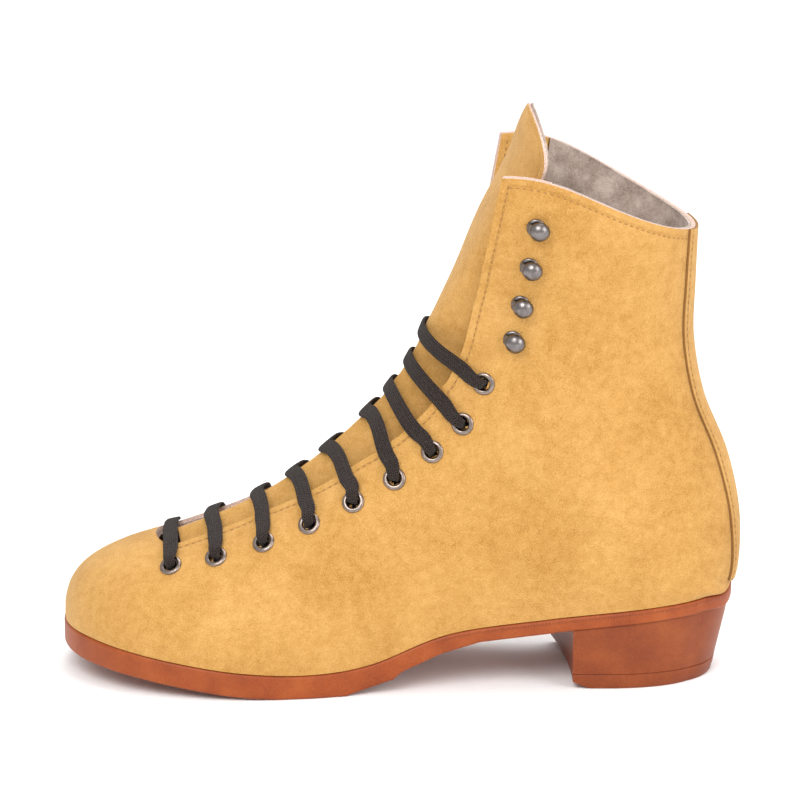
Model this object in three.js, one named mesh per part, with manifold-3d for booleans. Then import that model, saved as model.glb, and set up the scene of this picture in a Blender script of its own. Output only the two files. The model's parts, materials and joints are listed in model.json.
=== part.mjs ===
// Left lace-up skate boot in suede: a lasted whole-cut upper on a rubber sole with a stacked heel.
// Millimetres, +Z up. The toe points along -X, the lateral side is -Y and the medial side is +Y.
import * as THREE from 'three';
import { mergeVertices } from 'three/addons/utils/BufferGeometryUtils.js';
import Module from 'manifold-3d';

const wasm = await Module();
wasm.setup();

// ---- driving dimensions ----
const bootLength = 276.4;          // sole tip to heel back, at the widest point of the profile
const bootWidth = 97;              // across the ball of the foot
const bootHeight = 217;            // floor to the front corner of the collar
const upperThickness = 1.8;        // suede
const stiffenerThickness = 1.2;    // toe puff, heel counter and side interlining
const liningThickness = 1.2;
const facingThickness = 1.2;       // suede strip inside the eyelet row
const facingBack = 0.62;           // where that strip starts, as a share of the way from the sole to the throat
const layerGap = 0.25;
const seatGap = 0.3;
const backstayWidth = 26;
const backstayThickness = 1.2;
const backstayGap = 0.45;
const collarCrown = 5.2;           // how far the top edge swells above a straight line
const toeSwing = 6;                // how far the toe turns towards the medial side
const laceClearance = 1.3;         // between the lace inside the facings and the tongue under it
const counterSlack = 0.05;         // extra room for the heel counter where the heel is tightly curved
const tongueFaceThickness = 1.5;
const tongueLiningThickness = 0.9;
const tongueUnder = 17;            // how far the tongue runs under each facing
const eyeletHole = 2.5;
const eyeletBarrel = 3.05;
const eyeletFlange = 4.65;
const eyeletRise = 0.95;
const rivetRadius = 1.5;
const hookDome = 4.15;
const laceWidth = 4.2;
const laceThickness = 1.5;
const insoleThickness = 2.4;
const footbedThickness = 2.6;
const fillerThickness = 1.9;
const heelSoleThickness = 6;
const topLiftThickness = 6;
const heelLean = 0.887;            // length of the heel's base over the length of its seat
const heelBreast = 70.6;           // lateral front edge of the heel, from the middle of the boot
const breastSkew = 7.8;            // how much further forward the medial front edge is
const breastHollow = 1.6;          // the heel's front face is this much hollow
const heelInset = 0.4;
const bevelLength = 7.6;
const bevelHeight = 3;
const nailRadius = 1.1;
const nailLength = 21;
const nailHeadRadius = 2.6;
const nailHeadRise = 1.9;          // room for the nail heads under the footbed
const holeClearance = 0.35;

// ---- the last: stations fan round the foot from the toe, under the instep, up the heel to the collar ----
// base [x, z] and crest [x, z] of a station, then its half-width at the base, and two Bezier handles
// [share of the way from base to crest, half-width], then the share t of the curve at the throat edge,
// and the share of the way at which the tongue crosses.
const lastStations = [
  [-138.0, 20.6, -138.0, 26.0, 0.0, 0.33, 0.0, 0.66, 0.0, 1, 0.95],
  [-135.4, 20.5, -135.6, 35.2, 15.0, 0.40, 17.0, 1.0, 9.5, 1, 0.95],
  [-127.5, 20.0, -127.5, 44.6, 27.5, 0.42, 30.5, 1.0, 17.0, 1, 0.95],
  [-113.0, 18.2, -112.0, 52.8, 38.5, 0.45, 41.5, 1.0, 22.5, 1, 0.95],
  [-92.0, 15.2, -88.0, 61.0, 45.0, 0.50, 48.5, 1.0, 23.0, 0.776, 0.975],
  [-66.0, 11.8, -59.0, 73.0, 47.0, 0.50, 51.5, 1.0, 23.5, 0.794, 1.0],
  [-38.0, 10.2, -32.0, 89.5, 44.0, 0.48, 50.0, 1.0, 25.0, 0.757, 1.035],
  [-12.0, 13.0, -10.5, 110.0, 38.5, 0.45, 45.0, 1.0, 25.0, 0.700, 1.023],
  [20.0, 24.6, -4.0, 118.0, 34.0, 0.39, 41.5, 1.0, 26.5, 0.699, 1.018],
  [60.0, 30.0, -1.0, 125.0, 31.5, 0.33, 40.7, 0.98, 30.0, 0.729, 0.996],
  [100.0, 34.2, 1.0, 130.0, 30.5, 0.23, 41.7, 0.96, 36.0, 0.773, 0.988],
  [124.0, 36.2, 1.5, 133.0, 21.0, 0.09, 46.5, 0.95, 40.2, 0.795, 0.983],
  [135.8, 38.0, 2.0, 136.0, 0.0, 0.0, 57.5, 0.95, 39.8, 0.807, 0.978],
  [138.2, 64.0, 3.0, 142.0, 0.0, 0.0, 47.2, 0.95, 41.6, 0.790, 0.965],
  [133.0, 91.5, 4.0, 149.0, 0.0, 0.0, 41.0, 0.96, 41.7, 0.761, 0.950],
  [123.0, 117.0, 5.0, 160.0, 0.0, 0.0, 41.0, 0.98, 41.0, 0.727, 0.912],
  [118.5, 142.0, 6.0, 178.0, 0.0, 0.0, 41.0, 1.0, 44.5, 0.690, 0.850],
  [118.9, 165.0, 7.5, 202.0, 0.0, 0.0, 42.0, 1.0, 54.0, 0.669, 0.780],
  [119.8, 188.5, 9.8, 228.5, 0.0, 0.0, 44.0, 1.0, 60.0, 0.650, 0.680],
  [121.0, 212.0, 13.0, 257.0, 0.0, 0.0, 44.0, 1.0, 60.0, 0.640, 0.645],
];
const lastSize = { length: 276.4, width: 97, height: 217 };   // the size that the stations are drawn at
const heelEnd = 12;                // station where the base reaches the back of the heel
const fullThroat = 3.76;           // station where the throat has its full width
const throatStart = 3.52;          // station where the throat opens
const collar = 18;                 // station of the top edge
const tongueFold = 14.3;           // station where the tongue bends
const eyeletStations = [3.82, 4.5, 5.18, 5.86, 6.6, 7.6, 8.87, 10.65, 13.4];
const eyeletShares = [0.61, 0.595, 0.595, 0.592, 0.567, 0.556, 0.605, 0.70, 0.705];
const hookStations = [15.15, 15.95, 16.7, 17.35];
const hookShares = [0.61, 0.582, 0.565, 0.555];
// underside of the sole: x, z. Flat on the floor under the ball, then a step up to the waist.
const soleUnderside = [
  [-138, 10.4], [-131, 9.4], [-120, 8.4], [-107, 6.9], [-88, 4.2], [-73, 2.0], [-60, 0.6], [-50, 0],
  [-22, 0], [-2.5, 6.0], [0.5, 8.8], [16.7, 16.0], [32.6, 20.6], [47.2, 22.2], [62.8, 23.9],
];

const scaleX = bootLength / lastSize.length;
const scaleY = bootWidth / lastSize.width;
const scaleZ = bootHeight / lastSize.height;
const lateral = -1;
const medial = 1;
const bothSides = [lateral, medial];

// ---- the last's surface ----
const stations = lastStations.map((row) => row.map((value, field) => {
  if (field === 0 || field === 2) return value * scaleX;
  if (field === 1 || field === 3) return value * scaleZ;
  if (field === 4 || field === 6 || field === 8) return value * scaleY;
  return value;
}));

function spline(before, from, to, after, f) {
  const bend = 2 * before - 5 * from + 4 * to - after;
  const twist = 3 * from - before - 3 * to + after;
  return 0.5 * (2 * from + (to - before) * f + bend * f * f + twist * f ** 3);
}

// Past the toe's tip the stations are mirrored, so that the nose closes round. At the back of the heel
// the half-width at the base dies out, and heelRounding gives the outline its round end there.
function neighbours(i) {
  const last = stations.length - 1;
  const nose = stations[1].map((value, field) => ([4, 6, 8].includes(field) ? -value : value));
  const beyond = stations[last].map((value, field) => 2 * value - stations[last - 1][field]);
  const after = [...(stations[i + 2] ?? beyond)];
  if (i === heelEnd - 1) after[4] = stations[i][4];
  return [stations[i - 1] ?? nose, after];
}

function heelRounding(u, x, half) {
  if (u <= heelEnd - 1 || u >= heelEnd) return 0;
  const [from, to] = [stations[heelEnd - 1], stations[heelEnd]];
  const reach = to[0] - from[0];
  const radius = (reach ** 2 + from[4] ** 2) / (2 * reach);
  const left = to[0] - x;
  return Math.sqrt(Math.max(2 * radius * left - left ** 2, 0)) - half;
}

function stationAt(u) {
  const i = Math.min(Math.max(Math.floor(u), 0), stations.length - 2);
  const f = u - i;
  const [before, after] = neighbours(i);
  const v = stations[i].map((value, k) => spline(before[k], value, stations[i + 1][k], after[k], f));
  if (u >= heelEnd) v[4] = 0;
  return {
    base: new THREE.Vector2(v[0], v[1]), crest: new THREE.Vector2(v[2], v[3]),
    halfWidths: [v[4], v[6], v[8]], shares: [0, v[5], v[7]], tongueShare: v[10],
    rounding: heelRounding(u, v[0], v[4]),
  };
}

// Share of the section at which the suede ends: the crest before the throat, then the facing's edge.
function edgeShare(u) {
  if (u <= throatStart) return 1;
  const i = Math.min(Math.floor(u), stations.length - 2);
  const along = THREE.MathUtils.lerp(stations[i][9], stations[i + 1][9], u - i);
  const steady = u < 4 ? stations[4][9] : along;
  const opening = Math.min((u - throatStart) / (fullThroat - throatStart), 1);
  return 1 - (1 - steady) * Math.sqrt(opening);
}

function swing(x) {
  const forward = Math.max(0, -20 * scaleX - x) / (118 * scaleX);
  return toeSwing * forward * forward;
}

function crownRise(u, share) {
  const level = THREE.MathUtils.clamp((u - 16.4) / (collar - 16.4), 0, 1);
  const hump = Math.sin(Math.PI * Math.min(share / 0.72, 1) ** 2);
  return collarCrown * Math.max(hump, 0) * level * level;
}

// A point of the suede's outer face: t runs along the section's curve from the sole to the crest.
function sectionPoint(u, t, side) {
  const s = stationAt(u);
  const m = 1 - t;
  const weights = [m ** 3, 3 * t * m * m, 3 * t * t * m, t ** 3];
  const sum = (values) => weights[0] * values[0] + weights[1] * values[1] + weights[2] * values[2];
  const share = sum(s.shares) + weights[3];
  const half = sum(s.halfWidths) + s.rounding * m ** 8;
  const x = THREE.MathUtils.lerp(s.base.x, s.crest.x, share);
  const z = THREE.MathUtils.lerp(s.base.y, s.crest.y, share) + crownRise(u, share);
  return new THREE.Vector3(x, side * half + swing(x), z);
}

function surfaceNormal(u, t, side) {
  if (u === 0) return new THREE.Vector3(-1, 0, 0.4 * t).normalize();
  const step = 0.004;
  const onSeam = t === 1 || (t === 0 && u >= heelEnd);
  const from = onSeam ? lateral : side;
  const alongU = sectionPoint(u + step, t, from).sub(sectionPoint(Math.max(u - step, 0), t, from));
  const alongT = sectionPoint(u, t + step, from).sub(sectionPoint(u, t - step, from));
  const normal = alongU.cross(alongT).multiplyScalar(-from);
  if (onSeam) normal.y = 0;
  return normal.normalize();
}

function layerPoint(u, t, side, offset) {
  return sectionPoint(u, t, side).addScaledVector(surfaceNormal(u, t, side), offset);
}

// ---- solids ----
function solidFrom(points, triangles) {
  const geometry = new THREE.BufferGeometry();
  geometry.setAttribute('position', new THREE.Float32BufferAttribute(points.flatMap((p) => [p.x, p.y, p.z]), 3));
  geometry.setIndex(triangles.flat());
  return geometry;
}

// Gives points that coincide one number, and returns the number of each point.
function weld(points) {
  const seen = new Map();
  return points.map((p) => {
    const key = [p.x, p.y, p.z].map((value) => Math.round(value * 1000)).join();
    if (!seen.has(key)) seen.set(key, seen.size);
    return seen.get(key);
  });
}

// Turns an open sheet, given as rows of faces between two sets of points, into a closed solid.
function closeSheet(outer, inner, quads) {
  const index = weld(outer);
  const faces = [];
  for (const [a, b, c, d] of quads) {
    for (const corner of [[a, b, c], [a, c, d]]) {
      const [p, q, r] = corner.map((k) => index[k]);
      if (p !== q && q !== r && r !== p) faces.push([p, q, r]);
    }
  }
  const used = [...new Set(faces.flat())];
  const place = new Map(used.map((from, to) => [from, to]));
  const count = used.length;
  const points = [];
  index.forEach((to, from) => {
    if (place.has(to)) {
      points[place.get(to)] = outer[from];
      points[place.get(to) + count] = inner[from];
    }
  });
  const top = faces.map((face) => face.map((k) => place.get(k)));
  const edges = new Set(top.flatMap(([p, q, r]) => [`${p},${q}`, `${q},${r}`, `${r},${p}`]));
  const rim = [...edges].map((e) => e.split(',').map(Number)).filter(([p, q]) => !edges.has(`${q},${p}`));
  const under = top.map(([p, q, r]) => [r + count, q + count, p + count]);
  const walls = rim.flatMap(([p, q]) => [[q, p, p + count], [q, p + count, q + count]]);
  return solidFrom(points, [...top, ...under, ...walls]);
}

function range(from, to, steps) {
  return Array.from({ length: steps + 1 }, (_, k) => from + ((to - from) * k) / steps);
}

function gridQuads(start, rows, columns, side) {
  const quads = [];
  for (let i = 0; i < rows - 1; i++) {
    for (let j = 0; j < columns - 1; j++) {
      const a = start + i * columns + j;
      const b = a + columns;
      quads.push(side === lateral ? [a, b, b + 1, a + 1] : [a, a + 1, b + 1, b]);
    }
  }
  return quads;
}

// Every layer of the upper lies on one grid of stations and shares, so that the layers nest.
// A layer keeps the cells of the grid that it covers, from depth to depth below the suede's face.
function layer({ keep, sides = bothSides, outer, inner }) {
  const outside = [];
  const inside = [];
  const quads = [];
  const width = gridShares.length;
  for (const side of sides) {
    const start = outside.length;
    for (const u of gridRows) {
      for (const share of gridShares) {
        const t = share * edgeShare(u);
        outside.push(layerPoint(u, t, side, outer));
        inside.push(layerPoint(u, t, side, inner));
      }
    }
    for (let i = 0; i < gridRows.length - 1; i++) {
      for (let j = 0; j < width - 1; j++) {
        const u = (gridRows[i] + gridRows[i + 1]) / 2;
        const share = (gridShares[j] + gridShares[j + 1]) / 2;
        const a = start + i * width + j;
        const b = a + width;
        if (keep(u, share)) quads.push(side === lateral ? [a, b, b + 1, a + 1] : [a, a + 1, b + 1, b]);
      }
    }
  }
  return closeSheet(outside, inside, quads);
}

// Joins rings of equal length into a solid, with a flat cap at each end.
function loft(rings) {
  const points = rings.flat();
  const index = weld(points);
  const size = rings[0].length;
  const triangles = [];
  const add = (a, b, c) => {
    const [p, q, r] = [index[a], index[b], index[c]];
    if (p !== q && q !== r && r !== p) triangles.push([p, q, r]);
  };
  for (let i = 0; i < rings.length - 1; i++) {
    for (let j = 0; j < size; j++) {
      const a = i * size + j;
      const b = i * size + ((j + 1) % size);
      add(a, b, b + size);
      add(a, b + size, a + size);
    }
  }
  const end = (rings.length - 1) * size;
  for (let j = 1; j < size - 1; j++) {
    add(0, j + 1, j);
    add(end, end + j, end + j + 1);
  }
  const kept = [];
  index.forEach((to, from) => { kept[to] = points[from]; });
  return solidFrom(kept, triangles);
}

function toManifold(geometry) {
  const bare = geometry.clone();
  bare.deleteAttribute('normal');
  bare.deleteAttribute('uv');
  const merged = mergeVertices(bare, 1e-4);
  const vertProperties = new Float32Array(merged.attributes.position.array);
  const triVerts = new Uint32Array(merged.index.array);
  return new wasm.Manifold(new wasm.Mesh({ numProp: 3, vertProperties, triVerts }));
}

function fromManifold(solid) {
  const mesh = solid.getMesh();
  const geometry = new THREE.BufferGeometry();
  geometry.setAttribute('position', new THREE.Float32BufferAttribute(mesh.vertProperties, 3));
  geometry.setIndex([...mesh.triVerts]);
  return geometry;
}

function drill(geometry, cutters) {
  const solid = cutters.reduce((body, cutter) => body.subtract(toManifold(cutter)), toManifold(geometry));
  return fromManifold(solid);
}

// ---- places along the throat ----
function frameAt(u, t, side) {
  const point = sectionPoint(u, t, side);
  const normal = surfaceNormal(u, t, side);
  const towardsThroat = sectionPoint(u, t + 0.01, side).sub(point);
  towardsThroat.addScaledVector(normal, -towardsThroat.dot(normal)).normalize();
  const alongRow = new THREE.Vector3().crossVectors(normal, towardsThroat);
  const basis = new THREE.Matrix4().makeBasis(towardsThroat, alongRow, normal).setPosition(point);
  return { point, normal, towardsThroat, alongRow, basis };
}

const eyelets = bothSides.map((side) => eyeletStations.map((u, k) => frameAt(u, eyeletShares[k], side)));
const hooks = bothSides.map((side) => hookStations.map((u, k) => frameAt(u, hookShares[k], side)));

function cutterAt(frame, radius, sides) {
  const cutter = new THREE.CylinderGeometry(radius, radius, 16, sides);
  return cutter.rotateX(Math.PI / 2).applyMatrix4(frame.basis);
}

function throatCutters(sides) {
  return sides.flatMap((side) => {
    const row = side === lateral ? 0 : 1;
    const eyeletCuts = eyelets[row].map((frame) => cutterAt(frame, eyeletBarrel + holeClearance + 0.25, 8));
    const rivetCuts = hooks[row].map((frame) => cutterAt(frame, rivetRadius + holeClearance + 0.2, 6));
    return [...eyeletCuts, ...rivetCuts];
  });
}

// ---- the upper's layers ----
const puffEnd = 2.8;
const puffGap = 2.84;
const liningEnd = 3.1;             // the lining ends here under the throat's start
const counterFront = 10;
const counterGap = 9.94;
const counterTop = 14.3;
const facingGap = 0.6;             // other layers stop here, just short of the facing strip
const gridShares = [0, 0.05, 0.14, 0.28, 0.44, facingGap, facingBack, 0.8, 0.97, 1];
const gridRows = [
  0, 0.15, 0.4, 1, 1.6, 2.2, puffEnd, puffGap, liningEnd, throatStart, 3.57, 3.65, fullThroat, 4.2, 4.8, 5.4,
  6, 6.6, 7.2, 7.8, 8.5, 9.2, counterGap, counterFront, 10.8, 11.4, 11.75, heelEnd, 12.6, 13.4, counterTop, 15.2, 16,
  16.8, 17.4, collar,
];
const stiffenerOuter = -(upperThickness + layerGap);
const stiffenerInner = stiffenerOuter - stiffenerThickness;
const liningOuter = Math.min(stiffenerInner, stiffenerOuter - facingThickness) - layerGap;
const liningInner = liningOuter - liningThickness;
const facingInner = stiffenerOuter - facingThickness;

function upper() {
  return drill(layer({ keep: () => true, outer: 0, inner: -upperThickness }), throatCutters(bothSides));
}

function lining() {
  const keep = (u, share) => share < facingGap || u < liningEnd;
  return layer({ keep, outer: liningOuter, inner: liningInner });
}

function innerFacing(side) {
  const keep = (u, share) => share > facingBack && u > liningEnd && (u > throatStart || share < 0.97);
  const body = layer({ keep, sides: [side], outer: stiffenerOuter, inner: facingInner });
  return drill(body, throatCutters([side]));
}

function toePuff() {
  return layer({ keep: (u) => u < puffEnd, outer: stiffenerOuter, inner: stiffenerInner });
}

function heelCounter() {
  const keep = (u, share) => u > counterFront && u < counterTop && share < 0.44
    && (u > heelEnd || share > gridShares[1]);
  return layer({ keep, outer: stiffenerOuter - counterSlack, inner: stiffenerInner });
}

function sideInterlining(side) {
  const keep = (u, share) => u > puffGap && u < counterGap && share < facingGap;
  return layer({ keep, sides: [side], outer: stiffenerOuter, inner: stiffenerInner });
}

// A strip over the back seam, narrower towards the sole.
function backstay() {
  const rows = gridRows.filter((u) => u > heelEnd);
  const steps = range(0, 1, 3);
  const outside = [];
  const inside = [];
  const quads = [];
  for (const side of bothSides) {
    const start = outside.length;
    for (const u of rows) {
      const widest = (backstayWidth / 2 / (3 * stationAt(u).halfWidths[1])) * 1.06;
      for (const share of steps) {
        outside.push(layerPoint(u, share * widest, side, backstayGap + backstayThickness));
        inside.push(layerPoint(u, share * widest, side, backstayGap));
      }
    }
    quads.push(...gridQuads(start, rows.length, steps.length, side));
  }
  return closeSheet(outside, inside, quads);
}

// ---- the tongue and the arch that the laces follow ----
// Half an arch from the throat edge, at a depth from the suede's face, up to the crest of the tongue.
function archPoint(u, f, side, edgeDepth, crestRise) {
  const s = stationAt(u);
  const edgeAt = edgeShare(Math.max(u, fullThroat));
  const length = s.base.distanceTo(s.crest);
  const axis = s.crest.clone().sub(s.base).divideScalar(length);
  const resolve = (t) => {
    const p = layerPoint(u, t, lateral, edgeDepth);
    const along = new THREE.Vector2(p.x - s.base.x, p.z - crownRise(u, 0.6) - s.base.y);
    return { along: along.dot(axis), aside: along.cross(axis), half: swing(p.x) - p.y };
  };
  const edge = resolve(edgeAt);
  const before = resolve(edgeAt - 0.02);
  const crestAlong = s.tongueShare * length + crestRise;
  const slope = (before.half - edge.half) / Math.max(edge.along - before.along, 1e-3);
  const reach = edge.half - slope * (crestAlong - edge.along);
  const handle = THREE.MathUtils.clamp(reach, 0.3 * edge.half, 0.85 * edge.half);
  const m = 1 - f;
  const along = m * m * edge.along + (1 - m * m) * crestAlong;
  const half = m * m * edge.half + 2 * f * m * handle;
  const aside = m * edge.aside;
  const x = s.base.x + axis.x * along + axis.y * aside;
  const z = s.base.y + axis.y * along - axis.x * aside;
  return new THREE.Vector3(x, side * half + swing(x), z);
}

function archNormal(u, f, side) {
  const alongU = archPoint(u + 0.06, f, side, 0, 0).sub(archPoint(u - 0.06, f, side, 0, 0));
  const f0 = Math.min(f, 0.97);
  const alongF = archPoint(u, f0 + 0.03, side, 0, 0).sub(archPoint(u, f0, side, 0, 0));
  const normal = alongU.cross(alongF).multiplyScalar(-side);
  if (f === 1) normal.y = 0;
  return normal.normalize();
}

// Above the facings the tongue opens out into a leaf that leans back on the lateral side.
const tipStation = 19;
const leafFrom = 17;               // station where the arch starts to turn into the leaf
const leafFull = 17.8;
const leafShoulder = 18.2;         // station where the leaf starts to narrow to its point
const leafHalfWidth = 26 * scaleY;
const leafBulge = 4.75 * scaleX;
const leafLean = 5.75 * scaleX;
const leafAside = 8 * scaleY;
const leafDrop = 3;
function leafPoint(u, across, side, deeper) {
  const crest = archPoint(u, 1, lateral, 0, 0);
  const narrowing = THREE.MathUtils.clamp((u - leafShoulder) / (tipStation - leafShoulder), 0, 1);
  const spread = 1 - narrowing ** 1.9;
  const s = 1 - across / 2;
  const slope = (2 * leafBulge * s * spread - side * leafLean) / (side * leafHalfWidth);
  const inward = new THREE.Vector3(1, -slope, 0).normalize();
  const back = (leafBulge * s * s - side * leafLean * s) * spread;
  const aside = (leafAside * (u - leafFrom)) / (tipStation - leafFrom);
  const y = side * leafHalfWidth * s * spread - aside;
  const p = new THREE.Vector3(crest.x + back, y, crest.z - leafDrop * s * s * spread);
  return p.addScaledVector(inward, deeper);
}

// A point of the tongue's outer face: across runs from 0 under the facing to 2 at the crest.
function tonguePoint(u, across, side, deeper) {
  const edge = edgeShare(Math.max(u, fullThroat));
  const speed = sectionPoint(u, edge, lateral).distanceTo(sectionPoint(u, edge - 0.02, lateral)) / 0.02;
  const depth = -tongueDepth - deeper;
  const p = new THREE.Vector3();
  if (across < 1) {
    const t = edge - ((1 - across) * tongueUnder) / speed;
    p.copy(layerPoint(u, t, side, depth));
    p.z -= crownRise(u, 0.6);
  } else {
    p.copy(archPoint(u, across - 1, side, depth, -deeper));
  }
  if (u <= leafFrom) return p;
  const turned = THREE.MathUtils.smoothstep(u, leafFrom, leafFull);
  return p.lerp(leafPoint(u, across, side, deeper), turned);
}

function tongueLayer(rows, outer, inner) {
  const steps = [0, 0.3, 0.56, 0.78, 1];
  const outside = [];
  const inside = [];
  const quads = [];
  for (const side of bothSides) {
    const start = outside.length;
    for (const u of rows) {
      for (const k of steps) {
        const across = 2 * k;
        outside.push(tonguePoint(u, across, side, outer));
        inside.push(tonguePoint(u, across, side, inner));
      }
    }
    quads.push(...gridQuads(start, rows.length, steps.length, side));
  }
  return closeSheet(outside, inside, quads);
}

const foldGap = 0.03;
const tongueLow = [4.1, 4.6, 5.2, 5.9, 6.6, 7.4, 8.4, 9.6, 11, 12.4, 13.4, tongueFold - foldGap];
const tongueHigh = [tongueFold + foldGap, 15, 15.8, 16.6, 17, 17.4, 17.8, 18.2, 18.45, 18.65, 18.8, 18.92, tipStation];
const tongueLiningFrom = tongueFaceThickness + layerGap;
const tongueLiningTo = tongueLiningFrom + tongueLiningThickness;

// ---- the sole ----
// Half of the sole's outline at a station, moved inwards: x and half-width.
function outline(u, inset) {
  const step = 0.01;
  const at = (v) => {
    const s = stationAt(v);
    return { x: s.base.x, half: s.halfWidths[0] + s.rounding };
  };
  const [from, here, to] = [Math.max(u - step, 0), u, Math.min(u + step, heelEnd)].map(at);
  const closed = u === 0 || u === heelEnd;
  const dx = closed ? 0 : to.x - from.x;
  const dh = to.half - from.half;
  const run = Math.hypot(dx, dh);
  const half = closed ? 0 : Math.max(here.half - (inset * dx) / run, 0);
  return { x: here.x + (inset * dh) / run, half };
}

function undersideAt(x) {
  const points = soleUnderside;
  const at = x / scaleX;
  const i = points.findIndex((p) => p[0] > at);
  if (i <= 0) return (i === 0 ? points[0][1] : points.at(-1)[1]) * scaleZ;
  const [low, high] = [points[i - 1], points[i]];
  return THREE.MathUtils.mapLinear(at, low[0], high[0], low[1], high[1]) * scaleZ;
}

const heelSeatFrom = 9.05;         // station where the heel's seat starts
function soleBottom(u) {
  const s = stationAt(u);
  const seat = s.base.y - seatGap - heelSoleThickness;
  if (u >= heelSeatFrom) return seat;
  return Math.min(undersideAt(s.base.x), seat + 1.2);
}

const edgeRound = 1.2;
function outsole() {
  const extra = [0.75, 5.57, 6.62, 7.36, 7.44, heelSeatFrom, 11.45, 11.88];
  const rows = [...gridRows.filter((u) => u <= heelEnd), ...extra].sort((a, b) => a - b);
  const rings = rows.map((u) => {
    const s = stationAt(u);
    const top = s.base.y - seatGap;
    const bottom = soleBottom(u);
    const ring = [];
    const profile = [[edgeRound, top], [0, top - edgeRound], [0, bottom + edgeRound], [edgeRound, bottom]];
    for (const [inset, z] of profile) {
      const p = outline(u, inset - 0.4);
      ring.push(new THREE.Vector3(p.x, -p.half + swing(p.x), z));
    }
    for (const [inset, z] of [...profile].reverse()) {
      const p = outline(u, inset - 0.4);
      ring.push(new THREE.Vector3(p.x, p.half + swing(p.x), z));
    }
    return ring;
  });
  return drill(loft(rings), nailCutters());
}

// A flat piece inside the shoe, laid on the sole: from station to station, in from the outline.
function plate(from, to, inset, low, high, width = Infinity) {
  const rows = [...new Set([from, ...range(0, heelEnd, 24), 0.2, 11.8].filter((u) => u >= from && u <= to)), to];
  const rings = [...new Set(rows)].sort((a, b) => a - b).map((u) => {
    const p = outline(u, inset);
    const half = Math.min(p.half, width);
    const z = stationAt(u).base.y;
    const corner = (side, height) => new THREE.Vector3(p.x, side * half + swing(p.x), z + height);
    return [corner(lateral, high), corner(lateral, low), corner(medial, low), corner(medial, high)];
  });
  return loft(rings);
}

const boardLow = seatGap + fillerThickness + seatGap;
const boardHigh = boardLow + insoleThickness;

// ---- the heel ----
const nailPlaces = [[88, -15], [88, 15], [108, -17], [108, 17], [122, 0]].map(([x, y]) => [x * scaleX, y * scaleY]);
function stationOf(x) {
  let [low, high] = [8, heelEnd];
  for (let k = 0; k < 24; k++) {
    const middle = (low + high) / 2;
    if (stationAt(middle).base.x < x) low = middle;
    else high = middle;
  }
  return low;
}

function baseAt(x) {
  return stationAt(stationOf(x)).base.y;
}

function nailCutters() {
  return nailPlaces.map(([x, y]) => {
    const cutter = new THREE.CylinderGeometry(nailRadius + holeClearance, nailRadius + holeClearance, 60, 8);
    return cutter.rotateX(Math.PI / 2).translate(x, y, baseAt(x));
  });
}

// A level of the heel: reach is its length over the seat's length, forward moves its front edge back.
function heelRing(reach, forward, inset, zAt) {
  const front = heelBreast * scaleX;
  const steps = 8;
  const corner = (sign) => front + forward - (breastSkew * (sign + 1)) / 2;
  const side = (sign) => {
    const first = stationOf(front + (corner(sign) - front) / reach);
    return range(0, Math.PI / 2, steps).map((angle) => {
      const p = outline(THREE.MathUtils.lerp(first, heelEnd, Math.sin(angle)), inset);
      const x = angle === 0 ? corner(sign) : front + (p.x - front) * reach;
      return new THREE.Vector3(x, sign * p.half, zAt(x));
    });
  };
  const lateralSide = side(lateral);
  const medialSide = side(medial);
  const breast = range(0, 1, 6).slice(1, -1).map((share) => {
    const p = medialSide[0].clone().lerp(lateralSide[0], share);
    const x = p.x + breastHollow * (1 - (2 * share - 1) ** 2);
    return new THREE.Vector3(x, p.y, zAt(x));
  });
  return [...breast, ...lateralSide, ...medialSide.slice(0, -1).reverse()];
}

function heelBlock() {
  const low = topLiftThickness + seatGap;
  const topAt = (x) => baseAt(x) - 3 * seatGap - heelSoleThickness;
  const rings = [0, 0.5, 1].map((share) => heelRing(
    THREE.MathUtils.lerp(heelLean + 0.02, 0.99, share),
    0,
    heelInset,
    (x) => THREE.MathUtils.lerp(low, topAt(x), share),
  ));
  return drill(loft(rings), nailCutters());
}

function heelTopLift() {
  return loft([
    heelRing(heelLean, bevelLength, heelInset + edgeRound, () => 0),
    heelRing(heelLean + 0.008, bevelLength * 0.2, heelInset, () => bevelHeight * 0.8),
    heelRing(heelLean + 0.012, 0, heelInset, () => bevelHeight),
    heelRing(heelLean + 0.02, 0, heelInset, () => topLiftThickness),
  ]);
}

function heelNail([x, y]) {
  const top = baseAt(x) + boardHigh + 0.5;
  const profile = [[0, 0.8], [nailHeadRadius, 0.8], [nailHeadRadius, 0], [nailRadius, 0],
    [nailRadius, -nailLength + 3], [0, -nailLength]];
  const nail = new THREE.LatheGeometry(profile.map(([r, z]) => new THREE.Vector2(r, z)).reverse(), 8);
  return nail.rotateX(Math.PI / 2).translate(x, y, top);
}

// ---- eyelets, hooks and lace ----
const clinch = facingInner - 0.75;
const clinchRadius = 3.7;
function eyelet() {
  const profile = [
    [eyeletHole, clinch - 0.3], [clinchRadius, clinch - 0.3], [clinchRadius, clinch],
    [eyeletBarrel, clinch], [eyeletBarrel, 0.4], [eyeletFlange, 0.4],
    [(eyeletHole + eyeletFlange) / 2, eyeletRise], [eyeletHole, 0.5], [eyeletHole, clinch - 0.3],
  ];
  return new THREE.LatheGeometry(profile.map(([r, z]) => new THREE.Vector2(r, z)), 8).rotateX(Math.PI / 2);
}

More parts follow.
